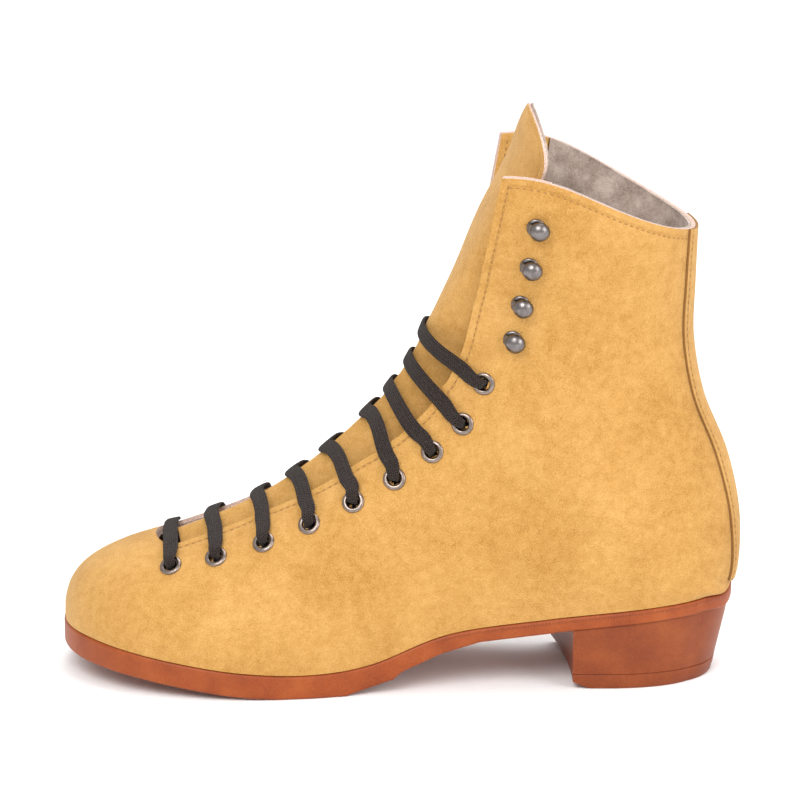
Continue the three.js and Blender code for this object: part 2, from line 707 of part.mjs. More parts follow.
// A speed hook: a rivet through the facing, a base disc, and a dome held off it by a neck.
function hook() {
  const stemTo = facingInner - 0.2;
  const base = new THREE.LatheGeometry([
    [0, stemTo - 0.8], [2.6, stemTo - 0.8], [2.6, stemTo - 0.4], [rivetRadius, stemTo - 0.4],
    [rivetRadius, 0.3], [3.9, 0.3], [3.9, 0.9], [0, 1],
  ].map(([r, z]) => new THREE.Vector2(r, z)), 8).rotateX(Math.PI / 2);
  const dome = new THREE.LatheGeometry([
    [0, 3.0], [hookDome - 0.4, 3.0], [hookDome, 3.3], [hookDome - 0.7, 4.8], [hookDome * 0.5, 5.9], [0, 6.3],
  ].map(([r, z]) => new THREE.Vector2(r, z)), 8).rotateX(Math.PI / 2).translate(-1.6, 0, 0);
  const neck = new THREE.BoxGeometry(1.4, 3.6, 2.9).translate(1.4, 0, 2);
  const joined = toManifold(base).add(toManifold(dome)).add(toManifold(neck));
  return fromManifold(joined);
}

// A lace is flat, so its route carries the direction that its flat face looks in at every point.
class LaceRoute extends THREE.Curve {
  constructor(stops) {
    super();
    this.stops = stops;
  }

  getSpacedPoints() {
    return this.stops.map((stop) => stop.point);
  }

  computeFrenetFrames() {
    const frames = { tangents: [], normals: [], binormals: [] };
    const last = this.stops.length - 1;
    this.stops.forEach((stop, i) => {
      const back = this.stops[Math.max(i - 1, 0)].point;
      const next = this.stops[Math.min(i + 1, last)].point;
      const toHere = i > 0 ? stop.point.clone().sub(back).normalize() : next.clone().sub(stop.point).normalize();
      const onward = i < last ? next.clone().sub(stop.point).normalize() : toHere.clone();
      const tangent = toHere.add(onward).normalize();
      const binormal = new THREE.Vector3().crossVectors(tangent, stop.face).normalize();
      const normal = new THREE.Vector3().crossVectors(binormal, tangent);
      frames.tangents.push(tangent);
      frames.normals.push(normal);
      frames.binormals.push(binormal);
    });
    return frames;
  }
}

const runDepth = clinch - 0.3 - 0.4 - laceThickness / 2;
const tongueDepth = laceThickness / 2 + laceClearance - runDepth;
const barRise = 0.5 + laceThickness / 2;

// Through an eyelet: the lace twists a quarter turn, from lying along the row inside to crossing it outside.
function holeStops(frame, outward, travel) {
  const at = (height, shift) => frame.point.clone()
    .addScaledVector(frame.normal, height).addScaledVector(frame.towardsThroat, shift);
  const insideFace = travel.clone().multiplyScalar(outward ? -1 : 1);
  const outsideFace = frame.towardsThroat.clone().negate();
  const middleFace = insideFace.clone().add(outsideFace).normalize();
  const stops = [
    { point: at(clinch - 1.05, 0), face: insideFace },
    { point: at((clinch + eyeletRise) / 2, 0), face: middleFace },
    { point: at(eyeletRise + 0.25, 0), face: outsideFace },
  ];
  return outward ? stops : stops.reverse();
}

// The bars lean towards the toe, because the tape lies square to the slope of the instep.
const laceCrests = [3.78, 4.39, 5.03, 5.54, 6.07, 6.8, 8.1, 11.4, 13.8];
function barStops(k, fromSide) {
  const leaning = (share) => THREE.MathUtils.lerp(eyeletStations[k], laceCrests[k], share);
  const halves = [fromSide, -fromSide].map((side) => {
    const frame = eyelets[side === lateral ? 0 : 1][k];
    const above = (height, shift) => ({
      point: frame.point.clone().addScaledVector(frame.normal, height).addScaledVector(frame.towardsThroat, shift),
      face: frame.normal.clone(),
    });
    const u = leaning(0.25);
    const t = THREE.MathUtils.lerp(eyeletShares[k], edgeShare(Math.max(u, fullThroat)), 0.75);
    const nearEdge = { point: layerPoint(u, t, side, barRise), face: surfaceNormal(u, t, side) };
    const overTongue = [[0.34, 0], [0.55, 0.3], [0.8, 0.65]].map(([share, f]) => {
      const face = archNormal(leaning(share), f, side);
      return { point: archPoint(leaning(share), f, side, 0, 0).addScaledVector(face, barRise), face };
    });
    return [above(eyeletRise + barRise + 0.45, 1.7), above(eyeletRise + barRise, 5), nearEdge, ...overTongue];
  });
  const face = archNormal(laceCrests[k], 1, lateral);
  const crest = { point: archPoint(laceCrests[k], 1, lateral, 0, 0).addScaledVector(face, barRise), face };
  return [...halves[0], crest, ...halves[1].reverse()];
}

// Just inside an eyelet, clear of its clinched edge on the way along the row.
function besideStops(frame, direction) {
  return [2.9, 5.6].map((distance) => ({
    point: frame.point.clone().addScaledVector(frame.normal, runDepth).addScaledVector(direction, distance),
    face: frame.normal.clone(),
  }));
}

// Inside the boot, up the row from one eyelet to another, past the eyelet between them.
function runStops(side, from, to, sidestep) {
  const row = eyelets[side === lateral ? 0 : 1];
  const middle = [];
  if (to - from > 1) {
    const passed = row[from + 1];
    middle.push({
      point: passed.point.clone().addScaledVector(passed.normal, runDepth)
        .addScaledVector(passed.towardsThroat, sidestep),
      face: passed.normal.clone(),
    });
  }
  const leaving = besideStops(row[from], travelAlong(side, from, to));
  const arriving = besideStops(row[to], travelAlong(side, to, from)).reverse();
  return [...leaving, ...middle, ...arriving];
}

const laceStep = 5.4;              // how far a run steps aside to pass an eyelet
const laceTails = [15.2, 16.1];    // stations where the two ends stop, behind the facings
const tailInset = 0.066;           // how far they lie inside the facing's edge, as a share of the section
function tailStops(side, from, until) {
  const beside = besideStops(eyelets[side === lateral ? 0 : 1][from], travelAlong(side, from, from + 1));
  const onward = range(0.3, 1, 5).map((share) => {
    const u = THREE.MathUtils.lerp(eyeletStations[from], until, share);
    const frame = frameAt(u, edgeShare(u) - tailInset, side);
    return {
      point: frame.point.clone().addScaledVector(frame.normal, runDepth),
      face: frame.normal.clone(),
    };
  });
  return [...beside, ...onward];
}

// Which way the lace travels along a row, from one eyelet towards another.
function travelAlong(side, from, to) {
  const row = eyelets[side === lateral ? 0 : 1];
  const low = Math.min(Math.min(from, to), row.length - 2);
  const up = row[low + 1].point.clone().sub(row[low].point);
  const normal = row[from].normal ?? row[low].normal;
  const travel = up.multiplyScalar(from < to ? 1 : -1);
  return travel.addScaledVector(normal, -travel.dot(normal)).normalize();
}

// Straight bars: both ends go inside at the first row, and each comes out again two rows further up.
function laceRoute() {
  const order = [7, 5, 3, 1, 0, 2, 4, 6, 8];
  const stops = tailStops(lateral, order[0], laceTails[0]).reverse();
  let side = lateral;
  let travel = travelAlong(side, order[0], order[0] + 1).negate();
  order.forEach((k, i) => {
    stops.push(...holeStops(eyelets[side === lateral ? 0 : 1][k], true, travel));
    stops.push(...barStops(k, side));
    side = -side;
    const next = order[i + 1] ?? k + 1;
    travel = travelAlong(side, k, next);
    stops.push(...holeStops(eyelets[side === lateral ? 0 : 1][k], false, travel));
    if (i < order.length - 1) {
      const stepAside = (Math.min(k, next) % 2 === 0 ? 1 : -1) * laceStep;
      const run = runStops(side, Math.min(k, next), Math.max(k, next), stepAside);
      stops.push(...(next > k ? run : run.reverse()));
    }
  });
  return [...stops, ...tailStops(side, order.at(-1), laceTails[1])];
}

const route = laceRoute();
function lace() {
  const w = laceWidth / 2;
  const h = laceThickness / 2;
  const section = new THREE.Shape([
    new THREE.Vector2(-h, -w), new THREE.Vector2(h, -w), new THREE.Vector2(h, w), new THREE.Vector2(-h, w),
  ]);
  const path = new LaceRoute(route);
  return new THREE.ExtrudeGeometry(section, { steps: route.length - 1, extrudePath: path });
}

const agletLength = 15;
const agletRadius = 0.95;
function aglet(stops) {
  const [before, end] = stops.map((stop) => stop.point);
  const direction = end.clone().sub(before).normalize();
  const tube = new THREE.CylinderGeometry(0.8, agletRadius, agletLength, 8);
  const turn = new THREE.Quaternion().setFromUnitVectors(new THREE.Vector3(0, 1, 0), direction);
  const middle = end.clone().addScaledVector(direction, agletLength / 2 + seatGap);
  return tube.applyQuaternion(turn).translate(middle.x, middle.y, middle.z);
}

// ---- finishes ----
const suede = new THREE.MeshStandardMaterial({ color: 0xe3aa58, roughness: 0.95, metalness: 0 });
const liningFelt = new THREE.MeshStandardMaterial({ color: 0x96877f, roughness: 0.97, metalness: 0 });
const rubber = new THREE.MeshStandardMaterial({ color: 0xb4633c, roughness: 0.55, metalness: 0 });
const laceYarn = new THREE.MeshStandardMaterial({ color: 0x3a2d2a, roughness: 0.9, metalness: 0 });
const nickel = new THREE.MeshStandardMaterial({ color: 0xb9b2ad, roughness: 0.3, metalness: 1 });
const gunmetal = new THREE.MeshStandardMaterial({ color: 0x85807f, roughness: 0.3, metalness: 1 });
const board = new THREE.MeshStandardMaterial({ color: 0xb08d63, roughness: 0.9, metalness: 0 });
const stiffener = new THREE.MeshStandardMaterial({ color: 0xd9d0bd, roughness: 0.9, metalness: 0 });
const cork = new THREE.MeshStandardMaterial({ color: 0x9a6f45, roughness: 0.95, metalness: 0 });
const steel = new THREE.MeshStandardMaterial({ color: 0x8d9196, roughness: 0.4, metalness: 1 });

const group = new THREE.Group();
function addPart(name, geometry, material) {
  const mesh = new THREE.Mesh(geometry, material);
  mesh.name = name;
  group.add(mesh);
  return mesh;
}

addPart('outsole', outsole(), rubber);
addPart('heel_block', heelBlock(), rubber);
addPart('heel_top_lift', heelTopLift(), rubber);
addPart('forefoot_filler', plate(1.4, 7.2, 8, seatGap, seatGap + fillerThickness), cork);
addPart('shank', plate(7.4, 11, 8, seatGap, seatGap + fillerThickness, 8), steel);
addPart('insole_board', drill(plate(0, heelEnd, 6.2, boardLow, boardHigh), nailCutters()), board);
addPart('footbed', plate(0, heelEnd, 9.5, boardHigh + nailHeadRise, boardHigh + nailHeadRise + footbedThickness), liningFelt);
nailPlaces.forEach((place, k) => addPart(`heel_nail_${k + 1}`, heelNail(place), steel));
addPart('upper', upper(), suede);
addPart('toe_puff', toePuff(), stiffener);
addPart('heel_counter', heelCounter(), stiffener);
addPart('interlining_lateral', sideInterlining(lateral), stiffener);
addPart('interlining_medial', sideInterlining(medial), stiffener);
addPart('lining', lining(), liningFelt);
addPart('inner_facing_lateral', innerFacing(lateral), suede);
addPart('inner_facing_medial', innerFacing(medial), suede);
addPart('backstay', backstay(), suede);
addPart('tongue_lower', tongueLayer(tongueLow, 0, tongueFaceThickness), suede);
addPart('tongue_top', tongueLayer(tongueHigh, 0, tongueFaceThickness), suede);
addPart('tongue_lining_lower', tongueLayer(tongueLow, tongueLiningFrom, tongueLiningTo), suede);
addPart('tongue_lining_top', tongueLayer(tongueHigh, tongueLiningFrom, tongueLiningTo), suede);
['lateral', 'medial'].forEach((sideName, row) => {
  eyelets[row].forEach((frame, k) => {
    addPart(`eyelet_${sideName}_${k + 1}`, eyelet(), nickel).applyMatrix4(frame.basis);
  });
  hooks[row].forEach((frame, k) => {
    addPart(`hook_${sideName}_${k + 1}`, hook(), gunmetal).applyMatrix4(frame.basis);
  });
});
addPart('lace', lace(), laceYarn);
addPart('aglet_1', aglet(route.slice(0, 2).reverse()), steel);
addPart('aglet_2', aglet(route.slice(-2)), steel);

// Stand the boot on the floor, centred on the origin.
const box = new THREE.Box3().setFromObject(group);
group.position.set(-(box.min.x + box.max.x) / 2, -(box.min.y + box.max.y) / 2, -box.min.z);

export default group;
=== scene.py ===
import json
import math

import bmesh
import bpy
import numpy as np
from mathutils import Matrix, Vector


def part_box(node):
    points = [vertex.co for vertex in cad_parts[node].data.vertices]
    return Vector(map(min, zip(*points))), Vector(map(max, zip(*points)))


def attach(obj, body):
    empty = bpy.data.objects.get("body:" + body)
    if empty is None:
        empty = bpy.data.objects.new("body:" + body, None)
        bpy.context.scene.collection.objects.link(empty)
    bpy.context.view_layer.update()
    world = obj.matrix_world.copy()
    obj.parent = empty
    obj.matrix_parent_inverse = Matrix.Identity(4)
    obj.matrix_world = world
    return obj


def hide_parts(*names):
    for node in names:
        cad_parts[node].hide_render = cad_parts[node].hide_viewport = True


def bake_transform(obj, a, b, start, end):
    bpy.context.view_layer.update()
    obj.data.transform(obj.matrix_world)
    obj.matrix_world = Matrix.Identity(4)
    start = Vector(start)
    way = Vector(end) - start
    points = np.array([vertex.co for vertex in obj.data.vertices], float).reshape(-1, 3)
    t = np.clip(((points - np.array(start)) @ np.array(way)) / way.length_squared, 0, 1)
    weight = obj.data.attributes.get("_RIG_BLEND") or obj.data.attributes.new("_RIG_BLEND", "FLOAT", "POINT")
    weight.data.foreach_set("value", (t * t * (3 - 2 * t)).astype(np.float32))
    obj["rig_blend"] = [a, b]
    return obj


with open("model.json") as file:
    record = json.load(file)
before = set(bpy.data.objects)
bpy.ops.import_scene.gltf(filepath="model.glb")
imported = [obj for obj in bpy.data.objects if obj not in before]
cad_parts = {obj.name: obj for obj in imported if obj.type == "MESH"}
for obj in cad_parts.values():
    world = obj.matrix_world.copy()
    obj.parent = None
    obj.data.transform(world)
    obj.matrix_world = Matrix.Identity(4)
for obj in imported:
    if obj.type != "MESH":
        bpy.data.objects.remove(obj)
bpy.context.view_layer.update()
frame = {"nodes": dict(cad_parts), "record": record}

lateral, medial = -1, 1
mm = 0.001

# the last, in millimetres, as the frame's own source has it
# base x, z and crest x, z of each station, half-width at the base, two handles (share, half-width),
# then where the throat edge lies on the section and how far up the tongue crosses it
lastRows = np.array([
    [-138.0, 20.6, -138.0, 26.0, 0.0, 0.33, 0.0, 0.66, 0.0, 1, 0.95],
    [-135.4, 20.5, -135.6, 35.2, 15.0, 0.40, 17.0, 1.0, 9.5, 1, 0.95],
    [-127.5, 20.0, -127.5, 44.6, 27.5, 0.42, 30.5, 1.0, 17.0, 1, 0.95],
    [-113.0, 18.2, -112.0, 52.8, 38.5, 0.45, 41.5, 1.0, 22.5, 1, 0.95],
    [-92.0, 15.2, -88.0, 61.0, 45.0, 0.50, 48.5, 1.0, 23.0, 0.776, 0.975],
    [-66.0, 11.8, -59.0, 73.0, 47.0, 0.50, 51.5, 1.0, 23.5, 0.794, 1.0],
    [-38.0, 10.2, -32.0, 89.5, 44.0, 0.48, 50.0, 1.0, 25.0, 0.757, 1.035],
    [-12.0, 13.0, -10.5, 110.0, 38.5, 0.45, 45.0, 1.0, 25.0, 0.700, 1.023],
    [20.0, 24.6, -4.0, 118.0, 34.0, 0.39, 41.5, 1.0, 26.5, 0.699, 1.018],
    [60.0, 30.0, -1.0, 125.0, 31.5, 0.33, 40.7, 0.98, 30.0, 0.729, 0.996],
    [100.0, 34.2, 1.0, 130.0, 30.5, 0.23, 41.7, 0.96, 36.0, 0.773, 0.988],
    [124.0, 36.2, 1.5, 133.0, 21.0, 0.09, 46.5, 0.95, 40.2, 0.795, 0.983],
    [135.8, 38.0, 2.0, 136.0, 0.0, 0.0, 57.5, 0.95, 39.8, 0.807, 0.978],
    [138.2, 64.0, 3.0, 142.0, 0.0, 0.0, 47.2, 0.95, 41.6, 0.790, 0.965],
    [133.0, 91.5, 4.0, 149.0, 0.0, 0.0, 41.0, 0.96, 41.7, 0.761, 0.950],
    [123.0, 117.0, 5.0, 160.0, 0.0, 0.0, 41.0, 0.98, 41.0, 0.727, 0.912],
    [118.5, 142.0, 6.0, 178.0, 0.0, 0.0, 41.0, 1.0, 44.5, 0.690, 0.850],
    [118.9, 165.0, 7.5, 202.0, 0.0, 0.0, 42.0, 1.0, 54.0, 0.669, 0.780],
    [119.8, 188.5, 9.8, 228.5, 0.0, 0.0, 44.0, 1.0, 60.0, 0.650, 0.680],
    [121.0, 212.0, 13.0, 257.0, 0.0, 0.0, 44.0, 1.0, 60.0, 0.640, 0.645],
])
last = {
    "heelEnd": 12, "throatStart": 3.52, "throatRows": (3.56, 3.6, 3.66), "fullThroat": 3.76,
    "collar": 18, "tip": 19, "collarCrown": 5.2, "toeSwing": 6.0, "heelNail": (122.0, 0.0),
}
heelEnd, collar = last["heelEnd"], last["collar"]
mirrorNose = np.array([1, 1, 1, 1, -1, 1, -1, 1, -1, 1, 1])
padded = np.vstack([lastRows[1] * mirrorNose, lastRows, 2 * lastRows[-1] - lastRows[-2]])

# the frame is centred on the boot, so the last moves by what one heel nail moved
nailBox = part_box("heel_nail_5")
shift = np.array([
    (nailBox[0][0] + nailBox[1][0]) / 2 / mm - last["heelNail"][0],
    (nailBox[0][1] + nailBox[1][1]) / 2 / mm - last["heelNail"][1],
    0.0,
])


def ease(value, low, high):
    f = np.clip((value - low) / (high - low), 0, 1)
    return f * f * (3 - 2 * f)


def unit(v):
    return v / np.maximum(np.linalg.norm(v, axis=-1, keepdims=True), 1e-12)


def runningLength(steps):
    return np.concatenate([[0], np.cumsum(steps)])


def stationAt(u):
    u = np.asarray(u, float)
    i = np.clip(np.floor(u).astype(int), 0, len(lastRows) - 2)
    f = (u - i)[..., None]
    before, here, there, after = (padded[i + k] for k in range(4))
    after[i == heelEnd - 1, 4] = lastRows[heelEnd - 1, 4]
    bend = 2 * before - 5 * here + 4 * there - after
    twist = 3 * here - before - 3 * there + after
    row = 0.5 * (2 * here + (there - before) * f + bend * f ** 2 + twist * f ** 3)
    row[u >= heelEnd, 4] = 0
    return row


def heelRounding(u, row):
    fromRow, toRow = lastRows[heelEnd - 1], lastRows[heelEnd]
    reach = toRow[0] - fromRow[0]
    radius = (reach ** 2 + fromRow[4] ** 2) / (2 * reach)
    left = np.clip(toRow[0] - row[..., 0], 0, 2 * radius)
    circle = np.sqrt(2 * radius * left - left ** 2)
    return np.where((u > heelEnd - 1) & (u < heelEnd), circle - row[..., 4], 0)


def crownRise(u, share):
    level = np.clip((u - 16.4) / (collar - 16.4), 0, 1)
    hump = np.sin(np.pi * np.minimum(share / 0.72, 1) ** 2)
    return last["collarCrown"] * np.maximum(hump, 0) * level ** 2


def swing(x):
    return last["toeSwing"] * (np.maximum(0, -20 - x) / 118) ** 2


def halfSection(u, t):
    row = stationAt(u)
    m = 1 - t
    w0, w1, w2, w3 = m ** 3, 3 * t * m * m, 3 * t * t * m, t ** 3
    share = w1 * row[..., 5] + w2 * row[..., 7] + w3
    half = w0 * row[..., 4] + w1 * row[..., 6] + w2 * row[..., 8]
    half = half + heelRounding(u, row) * np.maximum(m, 0) ** 8
    x = row[..., 0] + (row[..., 2] - row[..., 0]) * share
    z = row[..., 1] + (row[..., 3] - row[..., 1]) * share + crownRise(u, share)
    return np.stack([x, half, z], -1)


ironing = {"reach": 0.85, "weights": {-1: 0.18, -0.5: 0.2, 0: 0.24, 0.5: 0.2, 1: 0.18}}


# the quarter is averaged a little along the boot, which irons out the fan of sections at the heel
def suedePoint(u, t, side):
    u, t, side = np.broadcast_arrays(np.asarray(u, float), np.asarray(t, float), np.asarray(side, float))
    here = halfSection(u, t)
    amount = ease(t, 0.06, 0.3) * ease(u, 8.6, 10.4) * (1 - ease(u, 13.4, 15.4))
    ironed = sum(w * halfSection(u + ironing["reach"] * k, t) for k, w in ironing["weights"].items())
    p = here + (ironed - here) * amount[..., None]
    return np.stack([p[..., 0], side * p[..., 1] + swing(p[..., 0]), p[..., 2]], -1)


def suedeNormal(u, t, side):
    u, t, side = np.broadcast_arrays(np.asarray(u, float), np.asarray(t, float), np.asarray(side, float))
    step = 0.004
    seam = (t >= 1) | ((t <= 0) & (u >= heelEnd))
    side = np.where(seam, lateral, side)
    alongU = suedePoint(u + step, t, side) - suedePoint(np.maximum(u - step, 0), t, side)
    alongT = suedePoint(u, t + step, side) - suedePoint(u, t - step, side)
    normal = np.cross(alongU, alongT) * -side[..., None]
    normal[seam, 1] = 0
    nose = np.stack([-np.ones_like(t), 0 * t, 0.4 * t], -1)
    return unit(np.where((u <= 0)[..., None], nose, normal))


def layerPoint(u, t, side, offset):
    offset = np.asarray(offset, float)
    return suedePoint(u, t, side) + suedeNormal(u, t, side) * offset[..., None]


def edgeShare(u):
    u = np.asarray(u, float)
    along = np.interp(u, np.arange(len(lastRows)), lastRows[:, 9])
    steady = np.where(u < 4, lastRows[4, 9], along)
    opening = np.clip((u - last["throatStart"]) / (last["fullThroat"] - last["throatStart"]), 0, 1)
    return 1 - (1 - steady) * np.sqrt(opening)


# rows of stations that lie evenly along the boot, with the named ones kept
def evenStations(low, high, spacing, t=0.45, keep=()):
    u = np.linspace(low, high, 3000)
    paths = [suedePoint(u, v, lateral) for v in (0.0, t, 0.9)]
    steps = np.max([np.linalg.norm(np.diff(p, axis=0), axis=1) for p in paths], axis=0)
    length = runningLength(steps)
    rows = np.interp(np.linspace(0, length[-1], int(length[-1] / spacing) + 2), length, u)
    return np.unique(np.concatenate([rows, [k for k in keep if low < k < high]]))


# meshes
# a bmesh grid whose points are moved to their places, one array of rows by columns
def addGrid(bm, points, flip=False, marks=None, toMetres=True):
    rows, columns = points.shape[:2]
    made = bmesh.ops.create_grid(bm, x_segments=rows - 1, y_segments=columns - 1, size=0.5)["verts"]
    places = (points + shift) * mm if toMetres else points
    layers = {key: bm.verts.layers.float.get(key) or bm.verts.layers.float.new(key) for key in marks or {}}
    made = bm.verts[-rows * columns:] if layers else made
    for vert in made:
        i = round((vert.co.x + 0.5) * (rows - 1))
        j = round((vert.co.y + 0.5) * (columns - 1))
        for key, layer in layers.items():
            vert[layer] = marks[key][i, j]
        vert.co = places[i, j]
    if flip:
        faces = {face for vert in made for face in vert.link_faces}
        bmesh.ops.reverse_faces(bm, faces=list(faces))
    return made


def weld(bm, reach):
    bmesh.ops.remove_doubles(bm, verts=bm.verts, dist=reach)


def closeEnds(bm):
    boundary = [edge for edge in bm.edges if edge.is_boundary]
    bmesh.ops.holes_fill(bm, edges=boundary, sides=0)
    bmesh.ops.recalc_face_normals(bm, faces=bm.faces)


def newPiece(name, bm, materials, smoothAngle=38):
    mesh = bpy.data.meshes.new(name)
    bm.to_mesh(mesh)
    bm.free()
    for material in materials:
        mesh.materials.append(material)
    for polygon in mesh.polygons:
        polygon.use_smooth = True
    mesh.set_sharp_from_angle(angle=math.radians(smoothAngle))
    piece = bpy.data.objects.new(name, mesh)
    bpy.context.scene.collection.objects.link(piece)
    return piece


def applyModifiers(piece, smoothAngle=38):
    bpy.context.view_layer.update()
    graph = bpy.context.evaluated_depsgraph_get()
    mesh = bpy.data.meshes.new_from_object(piece.evaluated_get(graph), depsgraph=graph)
    piece.modifiers.clear()
    old = piece.data
    piece.data = mesh
    bpy.data.meshes.remove(old)
    mesh.name = piece.name
    mesh.set_sharp_from_angle(angle=math.radians(smoothAngle))


# thickness goes inwards, and the rim takes the second material, the cut edge
def thicken(piece, thickness, rimMaterial=1, bevel=0.0):
    solidify = piece.modifiers.new("thickness", "SOLIDIFY")
    solidify.thickness = thickness * mm
    solidify.offset = -1
    solidify.material_offset_rim = rimMaterial
    if bevel:
        rounding = piece.modifiers.new("rounding", "BEVEL")
        rounding.width = bevel * mm
        rounding.segments = 2
        rounding.limit_method = "ANGLE"
        rounding.angle_limit = math.radians(60)
    applyModifiers(piece)


def frameAt(u, t, side):
    point = suedePoint(u, t, side)
    normal = suedeNormal(u, t, side)
    towardsThroat = suedePoint(u, t + 0.01, side) - point
    towardsThroat = unit(towardsThroat - normal * np.dot(towardsThroat, normal))
    alongRow = np.cross(normal, towardsThroat)
    return {"point": point, "normal": normal, "towardsThroat": towardsThroat, "alongRow": alongRow}


def frameMatrix(place):
    turn = Matrix([place["towardsThroat"], place["alongRow"], place["normal"]]).transposed().to_4x4()
    return Matrix.Translation(Vector((place["point"] + shift) * mm)) @ turn


# materials
def startMaterial(name, roughness, metallic=0.0):
    material = bpy.data.materials.new(name)
    material.use_nodes = True
    tree = material.node_tree
    shader = tree.nodes["Principled BSDF"]
    shader.inputs["Roughness"].default_value = roughness
    shader.inputs["Metallic"].default_value = metallic
    coords = tree.nodes.new("ShaderNodeTexCoord").outputs["Object"]
    return material, tree, shader, coords


def addNoise(tree, coords, scale, detail=3.0, roughness=0.55, distortion=0.0):
    noise = tree.nodes.new("ShaderNodeTexNoise")
    noise.inputs["Scale"].default_value = scale
    noise.inputs["Detail"].default_value = detail
    noise.inputs["Roughness"].default_value = roughness
    noise.inputs["Distortion"].default_value = distortion
    tree.links.new(coords, noise.inputs["Vector"])
    return noise.outputs["Fac"]


def addRamp(tree, value, stops):
    ramp = tree.nodes.new("ShaderNodeValToRGB")
    elements = ramp.color_ramp.elements
    while len(elements) < len(stops):
        elements.new(0.5)
    for element, (position, colour) in zip(elements, stops):
        element.position = position
        element.color = (*colour, 1)
    tree.links.new(value, ramp.inputs["Fac"])
    return ramp.outputs["Color"]


def addMix(tree, factor, a, b, blend="MIX"):
    mix = tree.nodes.new("ShaderNodeMix")
    mix.data_type = "RGBA"
    mix.blend_type = blend
    for socket, value in ((mix.inputs[0], factor), (mix.inputs[6], a), (mix.inputs[7], b)):
        if isinstance(value, (int, float)):
            socket.default_value = value
        elif isinstance(value, tuple):
            socket.default_value = (*value, 1)
        else:
            tree.links.new(value, socket)
    return mix.outputs[2]


def addMath(tree, operation, a, b=0.0, c=None, clamp=False):
    node = tree.nodes.new("ShaderNodeMath")
    node.operation = operation
    node.use_clamp = clamp
    for socket, value in zip(node.inputs, (a, b, c)):
        if isinstance(value, (int, float)):
            socket.default_value = value
        elif value is not None:
            tree.links.new(value, socket)
    return node.outputs[0]


def addBump(tree, shader, heights):
    normal = None
    for height, strength, distance in heights:
        bump = tree.nodes.new("ShaderNodeBump")
        bump.inputs["Strength"].default_value = strength
        bump.inputs["Distance"].default_value = distance
        tree.links.new(height, bump.inputs["Height"])
        if normal:
            tree.links.new(normal, bump.inputs["Normal"])
        normal = bump.outputs["Normal"]
    tree.links.new(normal, shader.inputs["Normal"])


def addAttribute(tree, name):
    node = tree.nodes.new("ShaderNodeAttribute")
    node.attribute_name = name
    return node.outputs["Fac"]


# where the stitch line lies in from the cut edge, the reach of its groove, and the reach and strength of the
# painted shade in that groove
seam = {"inset": 3.2, "grooveReach": 1.1, "shadeReach": 0.8, "grooveShadeStrength": 0.4}


def suedeMaterial(name, dark, middle, light, edged=True):
    material, tree, shader, coords = startMaterial(name, 0.93)
    patches = addNoise(tree, coords, 22, 3, 0.55, 0.5)
    nap = addNoise(tree, coords, 260, 4, 0.62)
    fibre = addNoise(tree, coords, 1900, 3, 0.6)
    blend = addMath(tree, "MULTIPLY_ADD", nap, 0.26, addMath(tree, "MULTIPLY", patches, 0.3))
    shade = addMath(tree, "MULTIPLY_ADD", fibre, 0.44, blend)
    colour = addRamp(tree, shade, [(0.36, dark), (0.5, middle), (0.64, light)])
    heights = [(nap, 0.3, 0.0008), (fibre, 0.75, 0.0005)]
    if edged:  # the leather is drawn in along its stitching, and painted shade darkens that groove
        distance = addAttribute(tree, "edgeDistance")
        fromSeam = addMath(tree, "ABSOLUTE", addMath(tree, "SUBTRACT", distance, seam["inset"]))
        groove = addMath(tree, "DIVIDE", fromSeam, seam["grooveReach"], clamp=True)
        unshaded = addMath(tree, "DIVIDE", fromSeam, seam["shadeReach"], clamp=True)
        # painted shade along the stitch groove, strongest on the stitch line and gone a little way off it
        grooveShade = addMath(tree, "SUBTRACT", 1.0, unshaded)
        colour = addMix(tree, addMath(tree, "MULTIPLY", grooveShade, seam["grooveShadeStrength"]), colour, dark)
        heights.append((groove, 0.5, 0.0006))
    tree.links.new(colour, shader.inputs["Base Color"])
    shader.inputs["Sheen Weight"].default_value = 0.22
    shader.inputs["Sheen Roughness"].default_value = 0.45
    shader.inputs["Sheen Tint"].default_value = (1.0, 0.86, 0.62, 1)
    shader.inputs["Specular IOR Level"].default_value = 0.18
    addBump(tree, shader, heights)
    return material


def cutEdgeMaterial():
    material, tree, shader, coords = startMaterial("cut_edge", 0.9)
    layers = addNoise(tree, coords, 1400, 3)
    colour = addRamp(tree, layers, [(0.35, (0.40, 0.28, 0.235)), (0.65, (0.66, 0.50, 0.43))])
    tree.links.new(colour, shader.inputs["Base Color"])
    shader.inputs["Specular IOR Level"].default_value = 0.25
    addBump(tree, shader, [(layers, 0.4, 0.0003)])
    return material


def feltMaterial():
    material, tree, shader, coords = startMaterial("lining_felt", 0.97)
    clouds = addNoise(tree, coords, 120, 4, 0.65)
    hairs = addNoise(tree, coords, 1500, 4, 0.7, 1.5)
    shade = addMath(tree, "MULTIPLY_ADD", hairs, 0.5, addMath(tree, "MULTIPLY", clouds, 0.5))
    stops = [(0.38, (0.215, 0.155, 0.125)), (0.5, (0.36, 0.28, 0.235)), (0.62, (0.52, 0.43, 0.37))]
    tree.links.new(addRamp(tree, shade, stops), shader.inputs["Base Color"])
    shader.inputs["Sheen Weight"].default_value = 0.2
    shader.inputs["Specular IOR Level"].default_value = 0.1
    addBump(tree, shader, [(clouds, 0.25, 0.0008), (hairs, 0.6, 0.0005)])
    return material


tick = {"pitch": 1.25, "below": 1.5, "reach": 0.9}


